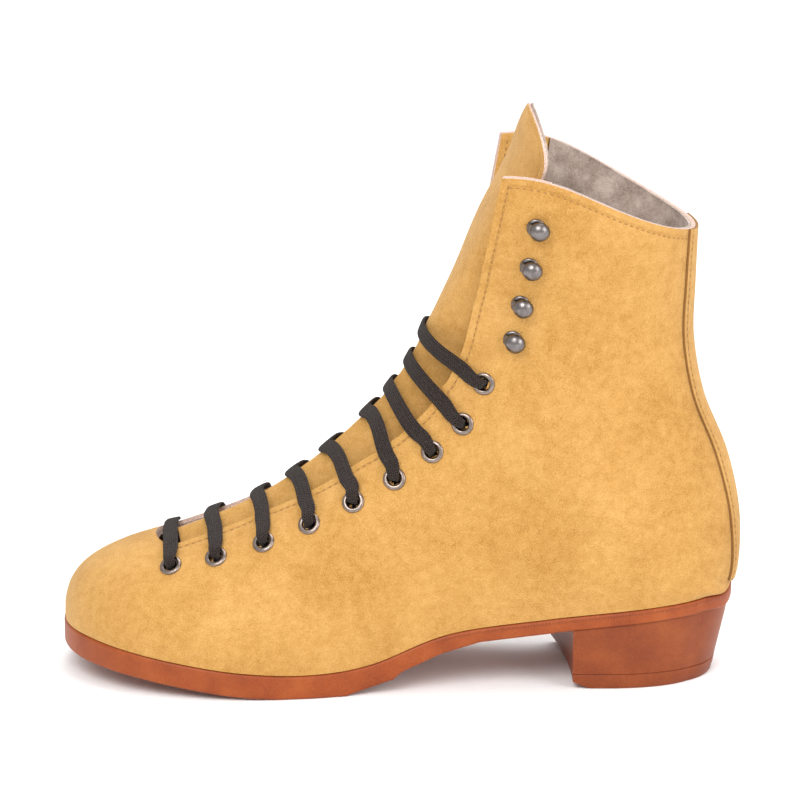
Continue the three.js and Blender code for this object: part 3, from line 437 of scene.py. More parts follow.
# striations run level round the heel, and fine upright ticks are wheeled in under the sole's top edge
def rubberMaterial(name, ticks=False, striated=False, shade=1.0):
    material, tree, shader, coords = startMaterial(name, 0.5)
    shader.inputs["Specular IOR Level"].default_value = 0.32
    cloud = addNoise(tree, coords, 60, 4, 0.6)
    grain = addNoise(tree, coords, 1300, 3, 0.6)
    value = addMath(tree, "MULTIPLY_ADD", grain, 0.35, addMath(tree, "MULTIPLY", cloud, 0.65))
    stops = [(0.36, (0.205, 0.034, 0.003)), (0.5, (0.262, 0.049, 0.005)), (0.64, (0.315, 0.070, 0.010))]
    stops = [(at, tuple(channel * shade for channel in tone)) for at, tone in stops]
    colour = addRamp(tree, value, stops)
    heights = [(grain, 0.18, 0.0003)]
    if striated:
        level = tree.nodes.new("ShaderNodeMapping")
        level.inputs["Scale"].default_value = (0.02, 0.02, 1)
        tree.links.new(coords, level.inputs["Vector"])
        lines = addNoise(tree, level.outputs["Vector"], 1100, 3, 0.6)
        colour = addMix(tree, addMath(tree, "MULTIPLY", lines, 0.22), colour, (0.15, 0.032, 0.008))
        heights.append((lines, 0.25, 0.0003))
    if ticks:
        turns = addMath(tree, "MULTIPLY", addAttribute(tree, "alongEdge"), 2 * math.pi / tick["pitch"])
        wave = addMath(tree, "SINE", turns)
        fromMiddle = addMath(tree, "SUBTRACT", addAttribute(tree, "belowTop"), tick["below"])
        faded = addMath(tree, "DIVIDE", addMath(tree, "ABSOLUTE", fromMiddle), tick["reach"], clamp=True)
        band = addMath(tree, "SUBTRACT", 1.0, faded)
        only = addMath(tree, "GREATER_THAN", addAttribute(tree, "heelPart"), 0.5)
        marks = addMath(tree, "MULTIPLY", addMath(tree, "MULTIPLY", wave, band), only)
        heights.append((marks, 0.6, 0.0004))
        # painted shade in the ticks' troughs: the colour darkens where the bump dips
        dark = addMath(tree, "MULTIPLY", addMath(tree, "MULTIPLY", marks, -0.35), 1.0, clamp=True)
        colour = addMix(tree, dark, colour, (0.11, 0.024, 0.006))
    tree.links.new(colour, shader.inputs["Base Color"])
    shader.inputs["Coat Weight"].default_value = 0.06
    shader.inputs["Coat Roughness"].default_value = 0.35
    addBump(tree, shader, heights)
    return material


# flat woven tape: a herringbone of yarns across the width, from the piece's own UV map in millimetres
def laceMaterial():
    material, tree, shader, coords = startMaterial("woven_lace", 0.88)
    uv = tree.nodes.new("ShaderNodeUVMap")
    uv.uv_map = "tape"
    split = tree.nodes.new("ShaderNodeSeparateXYZ")
    tree.links.new(uv.outputs["UV"], split.inputs[0])
    along, across = split.outputs[0], split.outputs[1]
    fold = addMath(tree, "PINGPONG", across, 0.85)
    slant = addMath(tree, "MULTIPLY_ADD", along, 1.0, addMath(tree, "MULTIPLY", fold, 0.9))
    yarns = addMath(tree, "SINE", addMath(tree, "MULTIPLY", slant, 2 * math.pi / 0.95))
    columns = addMath(tree, "SINE", addMath(tree, "MULTIPLY", across, 2 * math.pi / 0.85))
    height = addMath(tree, "ADD", addMath(tree, "MULTIPLY", yarns, 0.6),
                     addMath(tree, "MULTIPLY", columns, 0.4))
    fuzz = addNoise(tree, coords, 1800, 3, 0.7)
    shade = addMath(tree, "MULTIPLY_ADD", height, 0.2, fuzz)
    stops = [(0.3, (0.009, 0.005, 0.004)), (0.5, (0.022, 0.014, 0.0115)), (0.72, (0.068, 0.047, 0.038))]
    tree.links.new(addRamp(tree, shade, stops), shader.inputs["Base Color"])
    shader.inputs["Sheen Weight"].default_value = 0.06
    shader.inputs["Sheen Roughness"].default_value = 0.4
    shader.inputs["Specular IOR Level"].default_value = 0.2
    addBump(tree, shader, [(height, 0.9, 0.0005), (fuzz, 0.4, 0.0003)])
    return material


def metalMaterial(name, colour, roughness, spots):
    material, tree, shader, coords = startMaterial(name, roughness, 1.0)
    tarnish = addNoise(tree, coords, 500, 3, 0.6)
    darker = tuple(c * spots for c in colour)
    tree.links.new(addRamp(tree, tarnish, [(0.35, darker), (0.6, colour)]), shader.inputs["Base Color"])
    gloss = addRamp(tree, tarnish, [(0.3, (roughness + 0.15,) * 3), (0.7, (roughness,) * 3)])
    tree.links.new(gloss, shader.inputs["Roughness"])
    addBump(tree, shader, [(addNoise(tree, coords, 900, 2), 0.06, 0.0003)])
    return material


def threadMaterial():
    material, tree, shader, coords = startMaterial("thread", 0.8)
    twist = addNoise(tree, coords, 2200, 2)
    tree.links.new(addRamp(tree, twist, [(0.3, (0.21, 0.095, 0.022)), (0.7, (0.36, 0.18, 0.05))]),
              shader.inputs["Base Color"])
    addBump(tree, shader, [(twist, 0.4, 0.0002)])
    return material


def innerMaterial(name, dark, light, scale, roughness, bump):
    material, tree, shader, coords = startMaterial(name, roughness)
    grain = addNoise(tree, coords, scale, 4, 0.65, 0.4)
    tree.links.new(addRamp(tree, grain, [(0.35, dark), (0.65, light)]), shader.inputs["Base Color"])
    addBump(tree, shader, [(grain, bump, 0.0005)])
    return material


suedeTones = {
    "dark": (0.345, 0.160, 0.030), "middle": (0.475, 0.252, 0.068), "light": (0.585, 0.335, 0.110),
}
suede = suedeMaterial("suede", **suedeTones)
plainSuede = suedeMaterial("suede_plain", **suedeTones, edged=False)
seamTones = {"dark": (0.16, 0.072, 0.02), "middle": (0.23, 0.11, 0.03), "light": (0.30, 0.15, 0.045)}
seamEdge = suedeMaterial("suede_seam_edge", **seamTones, edged=False)
cutEdge = cutEdgeMaterial()
felt = feltMaterial()
soleRubber = rubberMaterial("sole_rubber", ticks=True)
heelRubber = rubberMaterial("heel_rubber", striated=True, shade=0.8)
laceYarn = laceMaterial()
nickel = metalMaterial("nickel", (0.27, 0.215, 0.185), 0.24, 0.65)
gunmetal = metalMaterial("gunmetal", (0.20, 0.18, 0.175), 0.24, 0.7)
thread = threadMaterial()
print("stage: materials")

# camera, light and floor
view = {"distance": 3.0, "elevation": 16.5, "aimHeight": 0.114, "lens": 330.75}


def placeCamera():
    aim = Vector((shift[0] * mm, shift[1] * mm, view["aimHeight"]))
    rise = math.radians(view["elevation"])
    data = bpy.data.cameras.new("camera")
    data.lens = view["lens"]
    data.sensor_width = 36
    camera = bpy.data.objects.new("camera", data)
    camera.location = aim + Vector((0, -math.cos(rise), math.sin(rise))) * view["distance"]
    camera.rotation_euler = (math.pi / 2 - rise, 0, 0)
    bpy.context.scene.collection.objects.link(camera)
    bpy.context.scene.camera = camera


lamps = {
    "key": {"at": (-0.45, -1.25, 1.3), "size": 1.1, "power": 22},
    "fill": {"at": (1.3, -1.0, 0.8), "size": 1.2, "power": 15},
    "top": {"at": (0.3, 0.5, 1.7), "size": 1.4, "power": 16},
}
studio = {"lampAim": (0, 0, 0.1), "worldStrength": 0.85, "floorHalf": 6}


def placeLamps():
    for name, lamp in lamps.items():
        data = bpy.data.lights.new(name, "AREA")
        data.shape = "DISK"
        data.size = lamp["size"]
        data.energy = lamp["power"]
        light = bpy.data.objects.new(name, data)
        light.location = lamp["at"]
        beam = Vector(studio["lampAim"]) - Vector(lamp["at"])
        light.rotation_euler = beam.to_track_quat("-Z", "Y").to_euler()
        bpy.context.scene.collection.objects.link(light)
    world = bpy.data.worlds.new("studio")
    world.use_nodes = True
    background = world.node_tree.nodes["Background"]
    background.inputs["Color"].default_value = (1, 1, 1, 1)
    background.inputs["Strength"].default_value = studio["worldStrength"]
    bpy.context.scene.world = world


def layFloor():
    bm = bmesh.new()
    bmesh.ops.create_grid(bm, x_segments=4, y_segments=4, size=studio["floorHalf"])
    material, tree, shader, coords = startMaterial("studio_floor", 0.8)
    paper = addRamp(tree, addNoise(tree, coords, 400, 2), [(0.3, (0.90,) * 3), (0.7, (0.93,) * 3)])
    tree.links.new(paper, shader.inputs["Base Color"])
    floor = newPiece("floor", bm, [material])


placeCamera()
placeLamps()
layFloor()
bpy.context.scene.view_settings.view_transform = "Standard"
print("stage: studio")

# the suede upper
eyeletRow = {
    "stations": [3.82, 4.5, 5.18, 5.86, 6.6, 7.6, 8.87, 10.65, 13.4],
    "shares": [0.61, 0.595, 0.595, 0.592, 0.567, 0.556, 0.605, 0.70, 0.705],
}
hookRow = {"stations": [15.15, 15.95, 16.7, 17.35], "shares": [0.61, 0.582, 0.565, 0.555]}
eyelets = {side: [frameAt(u, t, side) for u, t in zip(*eyeletRow.values())] for side in (lateral, medial)}
hooks = {side: [frameAt(u, t, side) for u, t in zip(*hookRow.values())] for side in (lateral, medial)}

upperShape = {"thickness": 1.8, "spacing": 2.0, "columns": 58, "holeRadius": 2.9}


# how far each point of a row still is from the last one
def lengthLeft(points):
    steps = np.linalg.norm(np.diff(points, axis=1), axis=2)
    left = np.cumsum(steps[:, ::-1], axis=1)[:, ::-1]
    return np.concatenate([left, np.zeros((len(points), 1))], axis=1)


# distance in millimetres from the nearest cut edge, the throat's or the collar's
def edgeDistances(points, rows):
    toThroat = lengthLeft(points)
    toThroat[rows < last["fullThroat"]] += 2.0
    toThroat[rows <= last["throatStart"]] = 99
    toCollar = lengthLeft(points.transpose(1, 0, 2)).T
    return np.minimum(toThroat, toCollar)


def punchHoles(bm, rows, radius):
    centres = [Vector((place["point"] + shift) * mm) for side in rows for place in rows[side]]
    doomed = []
    for face in bm.faces:
        middle = face.calc_center_median()
        if any((middle - centre).length < radius * mm for centre in centres):
            doomed.append(face)
    bmesh.ops.delete(bm, geom=doomed, context="FACES")


def makeUpper():
    named = (last["throatStart"], *last["throatRows"], last["fullThroat"], heelEnd)
    rows = evenStations(0, collar, upperShape["spacing"], keep=named)
    shares = np.linspace(0, 1, upperShape["columns"])
    bm = bmesh.new()
    for side in (lateral, medial):
        u, share = np.meshgrid(rows, shares, indexing="ij")
        points = suedePoint(u, share * edgeShare(u), side)
        marks = {"edgeDistance": edgeDistances(points, rows)}
        addGrid(bm, points, flip=side == medial, marks=marks)
    weld(bm, 2e-5)
    punchHoles(bm, eyelets, upperShape["holeRadius"])
    piece = newPiece("upper_suede", bm, [suede, cutEdge])
    thicken(piece, upperShape["thickness"])
    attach(piece, "root")
    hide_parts("upper")
    return piece


makeUpper()
print("stage: upper")

# stitches, one small bent thread each
stitch = {
    "pitch": 2.8, "length": 1.9, "radius": 0.34, "collarInset": 4.0, "facingInset": 3.2, "innerInset": 6.4,
    "from": 3.8, "until": 17.88, "inner": -3.3, "innerFrom": 3.9, "innerUntil": 17.85,
    "collarFrom": 0.03, "collarUntil": 0.97,
}


def evenAlong(points, pitch):
    steps = np.linalg.norm(np.diff(points, axis=0), axis=1)
    length = runningLength(steps)
    marks = np.arange(pitch / 2, length[-1], pitch)
    return np.stack([np.interp(marks, length, points[:, k]) for k in range(points.shape[1])], axis=1)


# a route is rows of u, t; each stitch lies along it, half sunk in the leather
def sewRow(bm, u, t, side, offset=0.0):
    path = suedePoint(u, t, side)
    spaced = evenAlong(np.concatenate([path, u[:, None], t[:, None]], axis=1), stitch["pitch"])
    points, us, ts = spaced[:, :3], spaced[:, 3], spaced[:, 4]
    normals = suedeNormal(us, ts, side)
    tangents = unit(np.gradient(points, axis=0))
    for point, normal, tangent in zip(points, normals, tangents):
        across = np.cross(normal, tangent)
        turn = Matrix([tangent, across, normal]).transposed().to_4x4()
        place = Matrix.Translation(Vector((point + normal * offset + shift) * mm)) @ turn
        size = Matrix.Diagonal((stitch["length"] / 2, stitch["radius"], stitch["radius"] * 0.8, 1))
        bmesh.ops.create_icosphere(bm, subdivisions=1, radius=mm, matrix=place @ size)


# millimetres to one share of the section, at the throat's edge
def speedAtEdge(u, edge, step=0.02):
    run = suedePoint(u, edge, lateral) - suedePoint(u, edge - step, lateral)
    return np.linalg.norm(run, axis=-1) / step


def facingLine(inset, low, high):
    u = np.linspace(low, high, 500)
    edge = edgeShare(u)
    return u, edge - inset / speedAtEdge(u, edge)


def collarLine(inset, low, high):
    t = np.linspace(low, high, 300) * edgeShare(collar)
    rise = suedePoint(collar, t, lateral) - suedePoint(collar - 0.1, t, lateral)
    return collar - inset / (np.linalg.norm(rise, axis=1) / 0.1), t


def sewUpper():
    bm = bmesh.new()
    for side in (lateral, medial):
        edgeLine = facingLine(stitch["facingInset"], stitch["from"], stitch["until"])
        sewRow(bm, *edgeLine, side)
        sewRow(bm, *collarLine(stitch["collarInset"], stitch["collarFrom"], stitch["collarUntil"]), side)
        sewRow(bm, *edgeLine, side, stitch["inner"])
        innerLine = facingLine(stitch["innerInset"], stitch["innerFrom"], stitch["innerUntil"])
        sewRow(bm, *innerLine, side, stitch["inner"])
    piece = newPiece("edge_stitching", bm, [thread])
    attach(piece, "root")


sewUpper()
print("stage: stitching")

# lining, inner facings and backstay
liningShape = {
    "outer": 3.5, "thickness": 1.2, "facingShare": 0.61, "atCollar": 1.9, "riseOver": 14.0,
    "endStation": 3.1, "stationRise": 24.5, "facingLoss": 0.19, "lossFrom": 12, "lossUntil": 16.5,
}


def liningOffset(u):
    below = (collar - u) * liningShape["stationRise"]
    deeper = liningShape["outer"] - liningShape["atCollar"]
    return -(liningShape["atCollar"] + deeper * ease(below, 0, liningShape["riseOver"]))


# the facing inside the throat is narrower at the top than along the vamp
def facingFrom(u):
    narrowed = ease(u, liningShape["lossFrom"], liningShape["lossUntil"])
    return liningShape["facingShare"] + liningShape["facingLoss"] * narrowed


def makeLining():
    bm = bmesh.new()
    rows = evenStations(0.0, collar, 3.4, keep=(liningShape["endStation"], heelEnd))
    lowShares = np.linspace(0, 1, 30)
    highShares = np.linspace(liningShape["facingShare"], 1, 16)
    toe = rows[rows <= liningShape["endStation"]]
    for side in (lateral, medial):
        for stations, shares in ((rows, lowShares), (toe, highShares)):
            u, share = np.meshgrid(stations, shares, indexing="ij")
            if shares is lowShares:
                share = share * facingFrom(u)
            points = layerPoint(u, share * edgeShare(u), side, liningOffset(u))
            addGrid(bm, points, flip=side == medial)
    weld(bm, 2e-5)
    piece = newPiece("felt_lining", bm, [felt, felt])
    thicken(piece, liningShape["thickness"])
    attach(piece, "root")
    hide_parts("lining")


facingShape = {"outer": 2.0, "thickness": 1.25, "gap": 0.005}


def makeInnerFacing(name, side):
    bm = bmesh.new()
    rows = evenStations(last["throatStart"], collar, 2.4, keep=(*last["throatRows"], last["fullThroat"]))
    u, k = np.meshgrid(rows, np.linspace(0, 1, 26), indexing="ij")
    low = facingFrom(u) + facingShape["gap"]
    t = (low + (1 - low) * k) * edgeShare(u)
    points = layerPoint(u, t, side, -facingShape["outer"])
    addGrid(bm, points, flip=side == medial)
    weld(bm, 2e-5)
    punchHoles(bm, {side: eyelets[side]}, upperShape["holeRadius"])
    piece = newPiece("inner_facing_" + name, bm, [plainSuede, cutEdge])
    thicken(piece, facingShape["thickness"])
    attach(piece, "root")
    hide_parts("inner_facing_" + name)


backstayShape = {
    "width": 26.0, "thickness": 1.15, "gap": 0.08, "seamInset": 2.0, "stitchRise": 0.1, "rim": 1.2,
}


def backstayEdge(u):
    handle = stationAt(u)[..., 6]
    return backstayShape["width"] / 2 / (3 * handle) * 1.06


def makeBackstay():
    bm = bmesh.new()
    rows = evenStations(heelEnd, collar, 2.0, t=0.0)
    for side in (lateral, medial):
        u, share = np.meshgrid(rows, np.linspace(0, 1, 16), indexing="ij")
        t = share * backstayEdge(u)
        points = layerPoint(u, t, side, backstayShape["thickness"] + backstayShape["gap"])
        toEdge = lengthLeft(points) + backstayShape["rim"]
        addGrid(bm, points, flip=side == medial, marks={"edgeDistance": toEdge})
    weld(bm, 2e-5)
    piece = newPiece("backstay_strip", bm, [suede, seamEdge])
    thicken(piece, backstayShape["thickness"], bevel=0.25)
    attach(piece, "root")
    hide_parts("backstay")
    bm = bmesh.new()
    u = np.linspace(heelEnd + 0.05, collar - 0.12, 400)
    for side in (lateral, medial):
        speed = 3 * stationAt(u)[..., 6]
        t = backstayEdge(u) - backstayShape["seamInset"] / speed
        sewRow(bm, u, t, side, backstayShape["thickness"] + backstayShape["stitchRise"])
    sewn = newPiece("backstay_stitching", bm, [thread])
    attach(sewn, "root")


makeLining()
makeInnerFacing("lateral", lateral)
makeInnerFacing("medial", medial)
makeBackstay()
print("stage: lining, facings and backstay")

# the tongue
tongueShape = {
    "depth": 7.5, "under": 17.0, "face": 1.5, "liningFrom": 1.7, "lining": 0.9,
    "low": 3.87, "bendOver": 0.014, "liningInset": 0.07,
}


def archPoint(u, f, side, edgeDepth, crestRise):
    row = stationAt(u)
    edge = edgeShare(np.maximum(u, last["fullThroat"]))
    baseX, baseZ = row[..., 0], row[..., 1]
    length = np.hypot(row[..., 2] - baseX, row[..., 3] - baseZ)
    axisX, axisZ = (row[..., 2] - baseX) / length, (row[..., 3] - baseZ) / length

    def resolve(t):
        p = layerPoint(u, t, lateral, edgeDepth + 0 * u)
        dx, dz = p[..., 0] - baseX, p[..., 2] - crownRise(u, 0.6) - baseZ
        return dx * axisX + dz * axisZ, dx * axisZ - dz * axisX, swing(p[..., 0]) - p[..., 1]

    along0, aside0, half0 = resolve(edge)
    along1, _, half1 = resolve(edge - 0.02)
    crestAlong = row[..., 10] * length + crestRise
    slope = (half1 - half0) / np.maximum(along0 - along1, 1e-3)
    reach = half0 - slope * (crestAlong - along0)
    handle = np.clip(reach, 0.3 * half0, 0.85 * half0)
    m = 1 - f
    along = m * m * along0 + (1 - m * m) * crestAlong
    half = m * m * half0 + 2 * f * m * handle
    aside = m * aside0
    x = baseX + axisX * along + axisZ * aside
    z = baseZ + axisZ * along - axisX * aside
    return np.stack([x, side * half + swing(x), z], -1)


def archNormal(u, f, side):
    alongU = archPoint(u + 0.06, f, side, 0, 0) - archPoint(u - 0.06, f, side, 0, 0)
    f0 = np.minimum(f, 0.97)
    alongF = archPoint(u, f0 + 0.03, side, 0, 0) - archPoint(u, f0, side, 0, 0)
    normal = np.cross(alongU, alongF) * -side
    normal[..., 1] = np.where(f >= 1, 0, normal[..., 1])
    return unit(normal)


# above the facings the tongue opens out into a leaf that leans back on the lateral side
leaf = {
    "low": 17, "full": 17.8, "shoulder": 18.2, "halfWidth": 26.0, "bulge": 4.75, "lean": 5.75, "aside": 8.0,
    "drop": 3.0,
}


def leafPoint(u, across, side, deeper):
    crest = archPoint(u, np.ones_like(u), lateral, 0, 0)
    narrowing = np.clip((u - leaf["shoulder"]) / (last["tip"] - leaf["shoulder"]), 0, 1)
    spread = 1 - narrowing ** 1.9
    s = 1 - across / 2
    slope = (2 * leaf["bulge"] * s * spread - side * leaf["lean"]) / (side * leaf["halfWidth"])
    inward = unit(np.stack([np.ones_like(u), -slope, 0 * u], -1))
    aside = leaf["aside"] * (u - leaf["low"]) / (last["tip"] - leaf["low"])
    p = np.stack([
        crest[..., 0] + (leaf["bulge"] * s * s - side * leaf["lean"] * s) * spread,
        side * leaf["halfWidth"] * s * spread - aside,
        crest[..., 2] - leaf["drop"] * s * s * spread,
    ], -1)
    return p + inward * deeper


def tonguePoint(u, across, side, deeper):
    edge = edgeShare(np.maximum(u, last["fullThroat"]))
    speed = speedAtEdge(u, edge)
    depth = -tongueShape["depth"] - deeper
    t = edge - (1 - np.minimum(across, 1)) * tongueShape["under"] / speed
    under = layerPoint(u, t, side, depth + 0 * u)
    under[..., 2] -= crownRise(u, 0.6)
    over = archPoint(u, np.maximum(across - 1, 0), side, depth, -deeper)
    arch = np.where((across < 1)[..., None], under, over)
    turned = ease(u, leaf["low"], leaf["full"])[..., None]
    return arch + (leafPoint(u, across, side, deeper) - arch) * turned


def makeTongueSheet(name, depth, thickness, materials, nodes, first=0.0):
    bm = bmesh.new()
    rows = evenStations(tongueShape["low"], last["tip"], 2.6, t=0.9)
    rows = np.unique(np.concatenate([rows, last["tip"] - 0.8 * (1 - np.linspace(0, 1, 16)) ** 2]))
    for side in (lateral, medial):
        u, across = np.meshgrid(rows, np.linspace(first, 2, 40), indexing="ij")
        points = tonguePoint(u, across, side, depth)
        toSide = lengthLeft(points[:, ::-1])[:, ::-1]
        addGrid(bm, points, flip=side == medial, marks={"edgeDistance": toSide})
    weld(bm, 4e-5)
    piece = newPiece(name, bm, materials)
    thicken(piece, thickness)
    fold = next(j for j in frame["record"]["behaviour"]["joints"] if j["name"] == "tongue_fold")
    x, y, z = fold["pos_m"]
    half = tongueShape["bendOver"]
    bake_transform(piece, "root", fold["child"], start=(x, y, z - half), end=(x, y, z + half))
    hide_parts(*nodes)


makeTongueSheet("tongue_suede", 0.0, tongueShape["face"], [suede, cutEdge],
                ["tongue_lower", "tongue_top"])
makeTongueSheet("tongue_lining", tongueShape["liningFrom"], tongueShape["lining"], [felt, felt],
                ["tongue_lining_lower", "tongue_lining_top"], tongueShape["liningInset"])
print("stage: tongue")

# sole and heel
sole = {
    "seatGap": 0.3, "thickness": 6.0, "round": 1.2, "overhang": 0.4, "seatFrom": 9.05,
    "underside": [
        (-138, 10.4), (-131, 9.4), (-120, 8.4), (-107, 6.9), (-88, 4.2), (-73, 2.0), (-60, 0.6), (-50, 0),
        (-22, 0), (-2.5, 6.0), (0.5, 8.8), (16.7, 16.0), (32.6, 20.6), (47.2, 22.2), (62.8, 23.9),
    ],
    "topLift": 6.0, "lean": 0.887, "breast": 70.6, "skew": 7.8, "hollow": 1.6, "bevelLength": 7.6,
    "joint": 0.12,
}


def outlineAt(u):
    row = stationAt(u)
    return row[..., 0], row[..., 4] + heelRounding(u, row)


# half of the sole's outline, moved inwards
def outline(u, inset):
    u = np.asarray(u, float)
    step = 0.01
    x0, h0 = outlineAt(np.maximum(u - step, 0))
    x1, h1 = outlineAt(np.minimum(u + step, heelEnd))
    x, h = outlineAt(u)
    closed = (u <= 0) | (u >= heelEnd)
    dx, dh = np.where(closed, 0, x1 - x0), h1 - h0
    run = np.hypot(dx, dh)
    half = np.where(closed, 0, np.maximum(h - inset * dx / run, 0))
    return x + inset * dh / run, half


def outlineStations(count):
    u = np.linspace(0, heelEnd, 12001)
    x, half = outlineAt(u)
    length = runningLength(np.hypot(np.diff(x), np.diff(half)))
    return np.interp(np.linspace(0, length[-1], count), length, u), np.linspace(0, length[-1], count)


def soleBottom(u):
    row = stationAt(u)
    seat = row[..., 1] - sole["seatGap"] - sole["thickness"]
    under = np.interp(row[..., 0], *zip(*sole["underside"]))
    front = np.minimum(under, seat + 1.2)
    return np.where(u >= sole["seatFrom"], seat, front)


def makeOutsole():
    bm = bmesh.new()
    rows, lengths = outlineStations(330)
    tops = stationAt(rows)[:, 1] - sole["seatGap"]
    bottoms = soleBottom(rows)
    radius = sole["round"]
    # inset and depth from the corner, round to upright
    sideProfile = [(radius * (1 - math.sin(a)), radius * (1 - math.cos(a)))
                   for a in np.linspace(0, math.pi / 2, 6)]
    profile = [(inset, drop, True) for inset, drop in sideProfile]
    profile += [(0.0, 0.35, None), (0.0, 0.65, None)]
    profile += [(inset, drop, False) for inset, drop in reversed(sideProfile)]
    ring = []
    for inset, drop, fromTop in profile:
        x, half = outline(rows, inset - sole["overhang"])
        if fromTop is None:
            z = tops + (bottoms - tops) * drop
        else:
            z = tops - drop if fromTop else bottoms + drop
        ring.append((x, half, z))
    sequence = [(lateral, k) for k in range(len(ring))] + [(medial, k) for k in reversed(range(len(ring)))]
    sequence.append((lateral, 0))
    points = np.stack([np.stack([ring[k][0], side * ring[k][1] + swing(ring[k][0]), ring[k][2]], -1)
                       for side, k in sequence], axis=1)
    belowTop = tops[:, None] - points[..., 2]
    marks = {
        "alongEdge": np.broadcast_to(lengths[:, None], belowTop.shape), "belowTop": belowTop,
        "heelPart": np.broadcast_to((rows > 7.9)[:, None] * 1.0, belowTop.shape),
    }
    addGrid(bm, points, marks=marks)
    weld(bm, 1e-5)
    bmesh.ops.dissolve_degenerate(bm, edges=bm.edges, dist=1e-6)
    bmesh.ops.recalc_face_normals(bm, faces=bm.faces)
    piece = newPiece("rubber_outsole", bm, [soleRubber], smoothAngle=50)
    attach(piece, "root")
    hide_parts("outsole")


sampleU = np.linspace(7, heelEnd, 2001)
sampleX = stationAt(sampleU)[:, 0]


def stationOf(x):
    return np.interp(x, sampleX, sampleU)


# share says how far up each point goes, from the level low to the heel's top face
def heelRing(reach, forward, inset, low, share=0.0, steps=56):
    front = sole["breast"]
    corners = {side: front + forward - sole["skew"] * (side + 1) / 2 for side in (lateral, medial)}
    sides = {}
    for side, corner in corners.items():
        first = stationOf(front + (corner - front) / reach)
        u = first + (heelEnd - first) * np.sin(np.linspace(0, math.pi / 2, steps))
        x, half = outline(u, inset)
        x = front + (x - front) * reach
        x[0] = corner
        sides[side] = np.stack([x, side * half], -1)
    across = np.linspace(0, 1, 22)[1:-1]
    breast = sides[medial][0] + (sides[lateral][0] - sides[medial][0]) * across[:, None]
    breast[:, 0] += sole["hollow"] * (1 - (2 * across - 1) ** 2)
    plan = np.concatenate([breast, sides[lateral], sides[medial][:-1][::-1]])
    plan = np.concatenate([plan, plan[:1]])
    seat = stationAt(stationOf(plan[:, 0]))[..., 1]
    top = seat - sole["seatGap"] - sole["thickness"] - sole["joint"]
    return np.concatenate([plan, (low + (top - low) * share)[:, None]], axis=1)


def makeHeelPiece(name, rings, node):
    bm = bmesh.new()
    addGrid(bm, np.stack(rings, axis=0))
    weld(bm, 1e-5)
    closeEnds(bm)
    piece = newPiece(name, bm, [heelRubber], smoothAngle=32)
    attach(piece, "root")
    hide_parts(node)


def makeHeel():
    low = sole["topLift"] + sole["joint"]
    foot = sole["lean"] + 0.02
    rings = []
    for share in np.linspace(0, 1, 9):
        edge = 0.25 if share in (0, 1) else 0
        rings.append(heelRing(foot + (0.99 - sole["lean"] - 0.02) * share, 0, 0.4 + edge, low, share))
    rings.insert(1, heelRing(sole["lean"] + 0.022, 0, 0.4, low + 0.3))
    makeHeelPiece("heel_stack", rings, "heel_block")
    levels = [
        (0.0, 1.0, 1.6, 0.0), (0.002, 0.93, 1.0, 0.12), (0.004, 0.75, 0.65, 0.7), (0.008, 0.2, 0.45, 2.4),
        (0.012, 0.0, 0.4, 3.0), (0.016, 0.0, 0.4, 4.5), (0.02, 0.0, 0.4, 5.7), (0.02, 0.0, 0.65, 6.0),
    ]
    rings = []
    for more, back, inset, z in levels:
        rings.append(heelRing(sole["lean"] + more, sole["bevelLength"] * back, inset, z))
    makeHeelPiece("heel_lift", rings, "heel_top_lift")


footbedShape = {"height": 9.4, "inset": 9.5, "thickness": 2.4, "dish": 1.6}


def makeFootbed():
    bm = bmesh.new()
    rows, _ = outlineStations(120)
    rows = rows[(rows > 0.15) & (rows < 11.93)]
    x, half = outline(rows, footbedShape["inset"])
    across = np.linspace(-1, 1, 25)
    z = stationAt(rows)[:, 1] + footbedShape["height"]
    heights = z[:, None] + footbedShape["dish"] * (np.abs(across[None, :]) ** 4)
    y = half[:, None] * across[None, :] + swing(x)[:, None]
    addGrid(bm, np.stack([np.broadcast_to(x[:, None], y.shape), y, heights], -1))
    piece = newPiece("felt_footbed", bm, [felt, felt])
    thicken(piece, footbedShape["thickness"], bevel=0.4)
    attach(piece, "root")
    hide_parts("footbed")


makeOutsole()
makeHeel()
makeFootbed()
print("stage: sole, heel and footbed")

# eyelets and speed hooks
eyeletShape = {
    "segments": 40,
    "profile": [
        (2.5, -4.3), (3.0, -4.45), (3.7, -4.3), (3.6, -4.05), (3.05, -3.95), (3.05, 0.1), (4.5, 0.06),
        (4.66, 0.22), (4.6, 0.48), (4.2, 0.78), (3.7, 0.95), (3.2, 0.93), (2.8, 0.72), (2.58, 0.3),
        (2.5, -0.3),
    ],
}
hookShape = {"dome": 4.15, "set": -1.6, "neckWidth": 4.2, "segments": 36}


# a lathe: the profile's wire is spun once round the local Z axis
def spinProfile(bm, profile, segments, closed=True, matrix=Matrix.Identity(4)):
    verts = [bm.verts.new((r * mm, 0, z * mm)) for r, z in profile]
    pairs = list(zip(verts, verts[1:] + verts[:1])) if closed else list(zip(verts, verts[1:]))
    edges = [bm.edges.new(pair) for pair in pairs]
    bmesh.ops.spin(bm, geom=verts + edges, cent=(0, 0, 0), axis=(0, 0, 1), angle=2 * math.pi,
                   steps=segments, use_merge=True)
    bmesh.ops.transform(bm, matrix=matrix, verts=bm.verts)


def copiesAt(bm, master, places):
    for place in places:
        before = len(bm.verts)
        bm.from_mesh(master)
        bm.verts.ensure_lookup_table()
        bmesh.ops.transform(bm, matrix=frameMatrix(place), verts=bm.verts[before:])


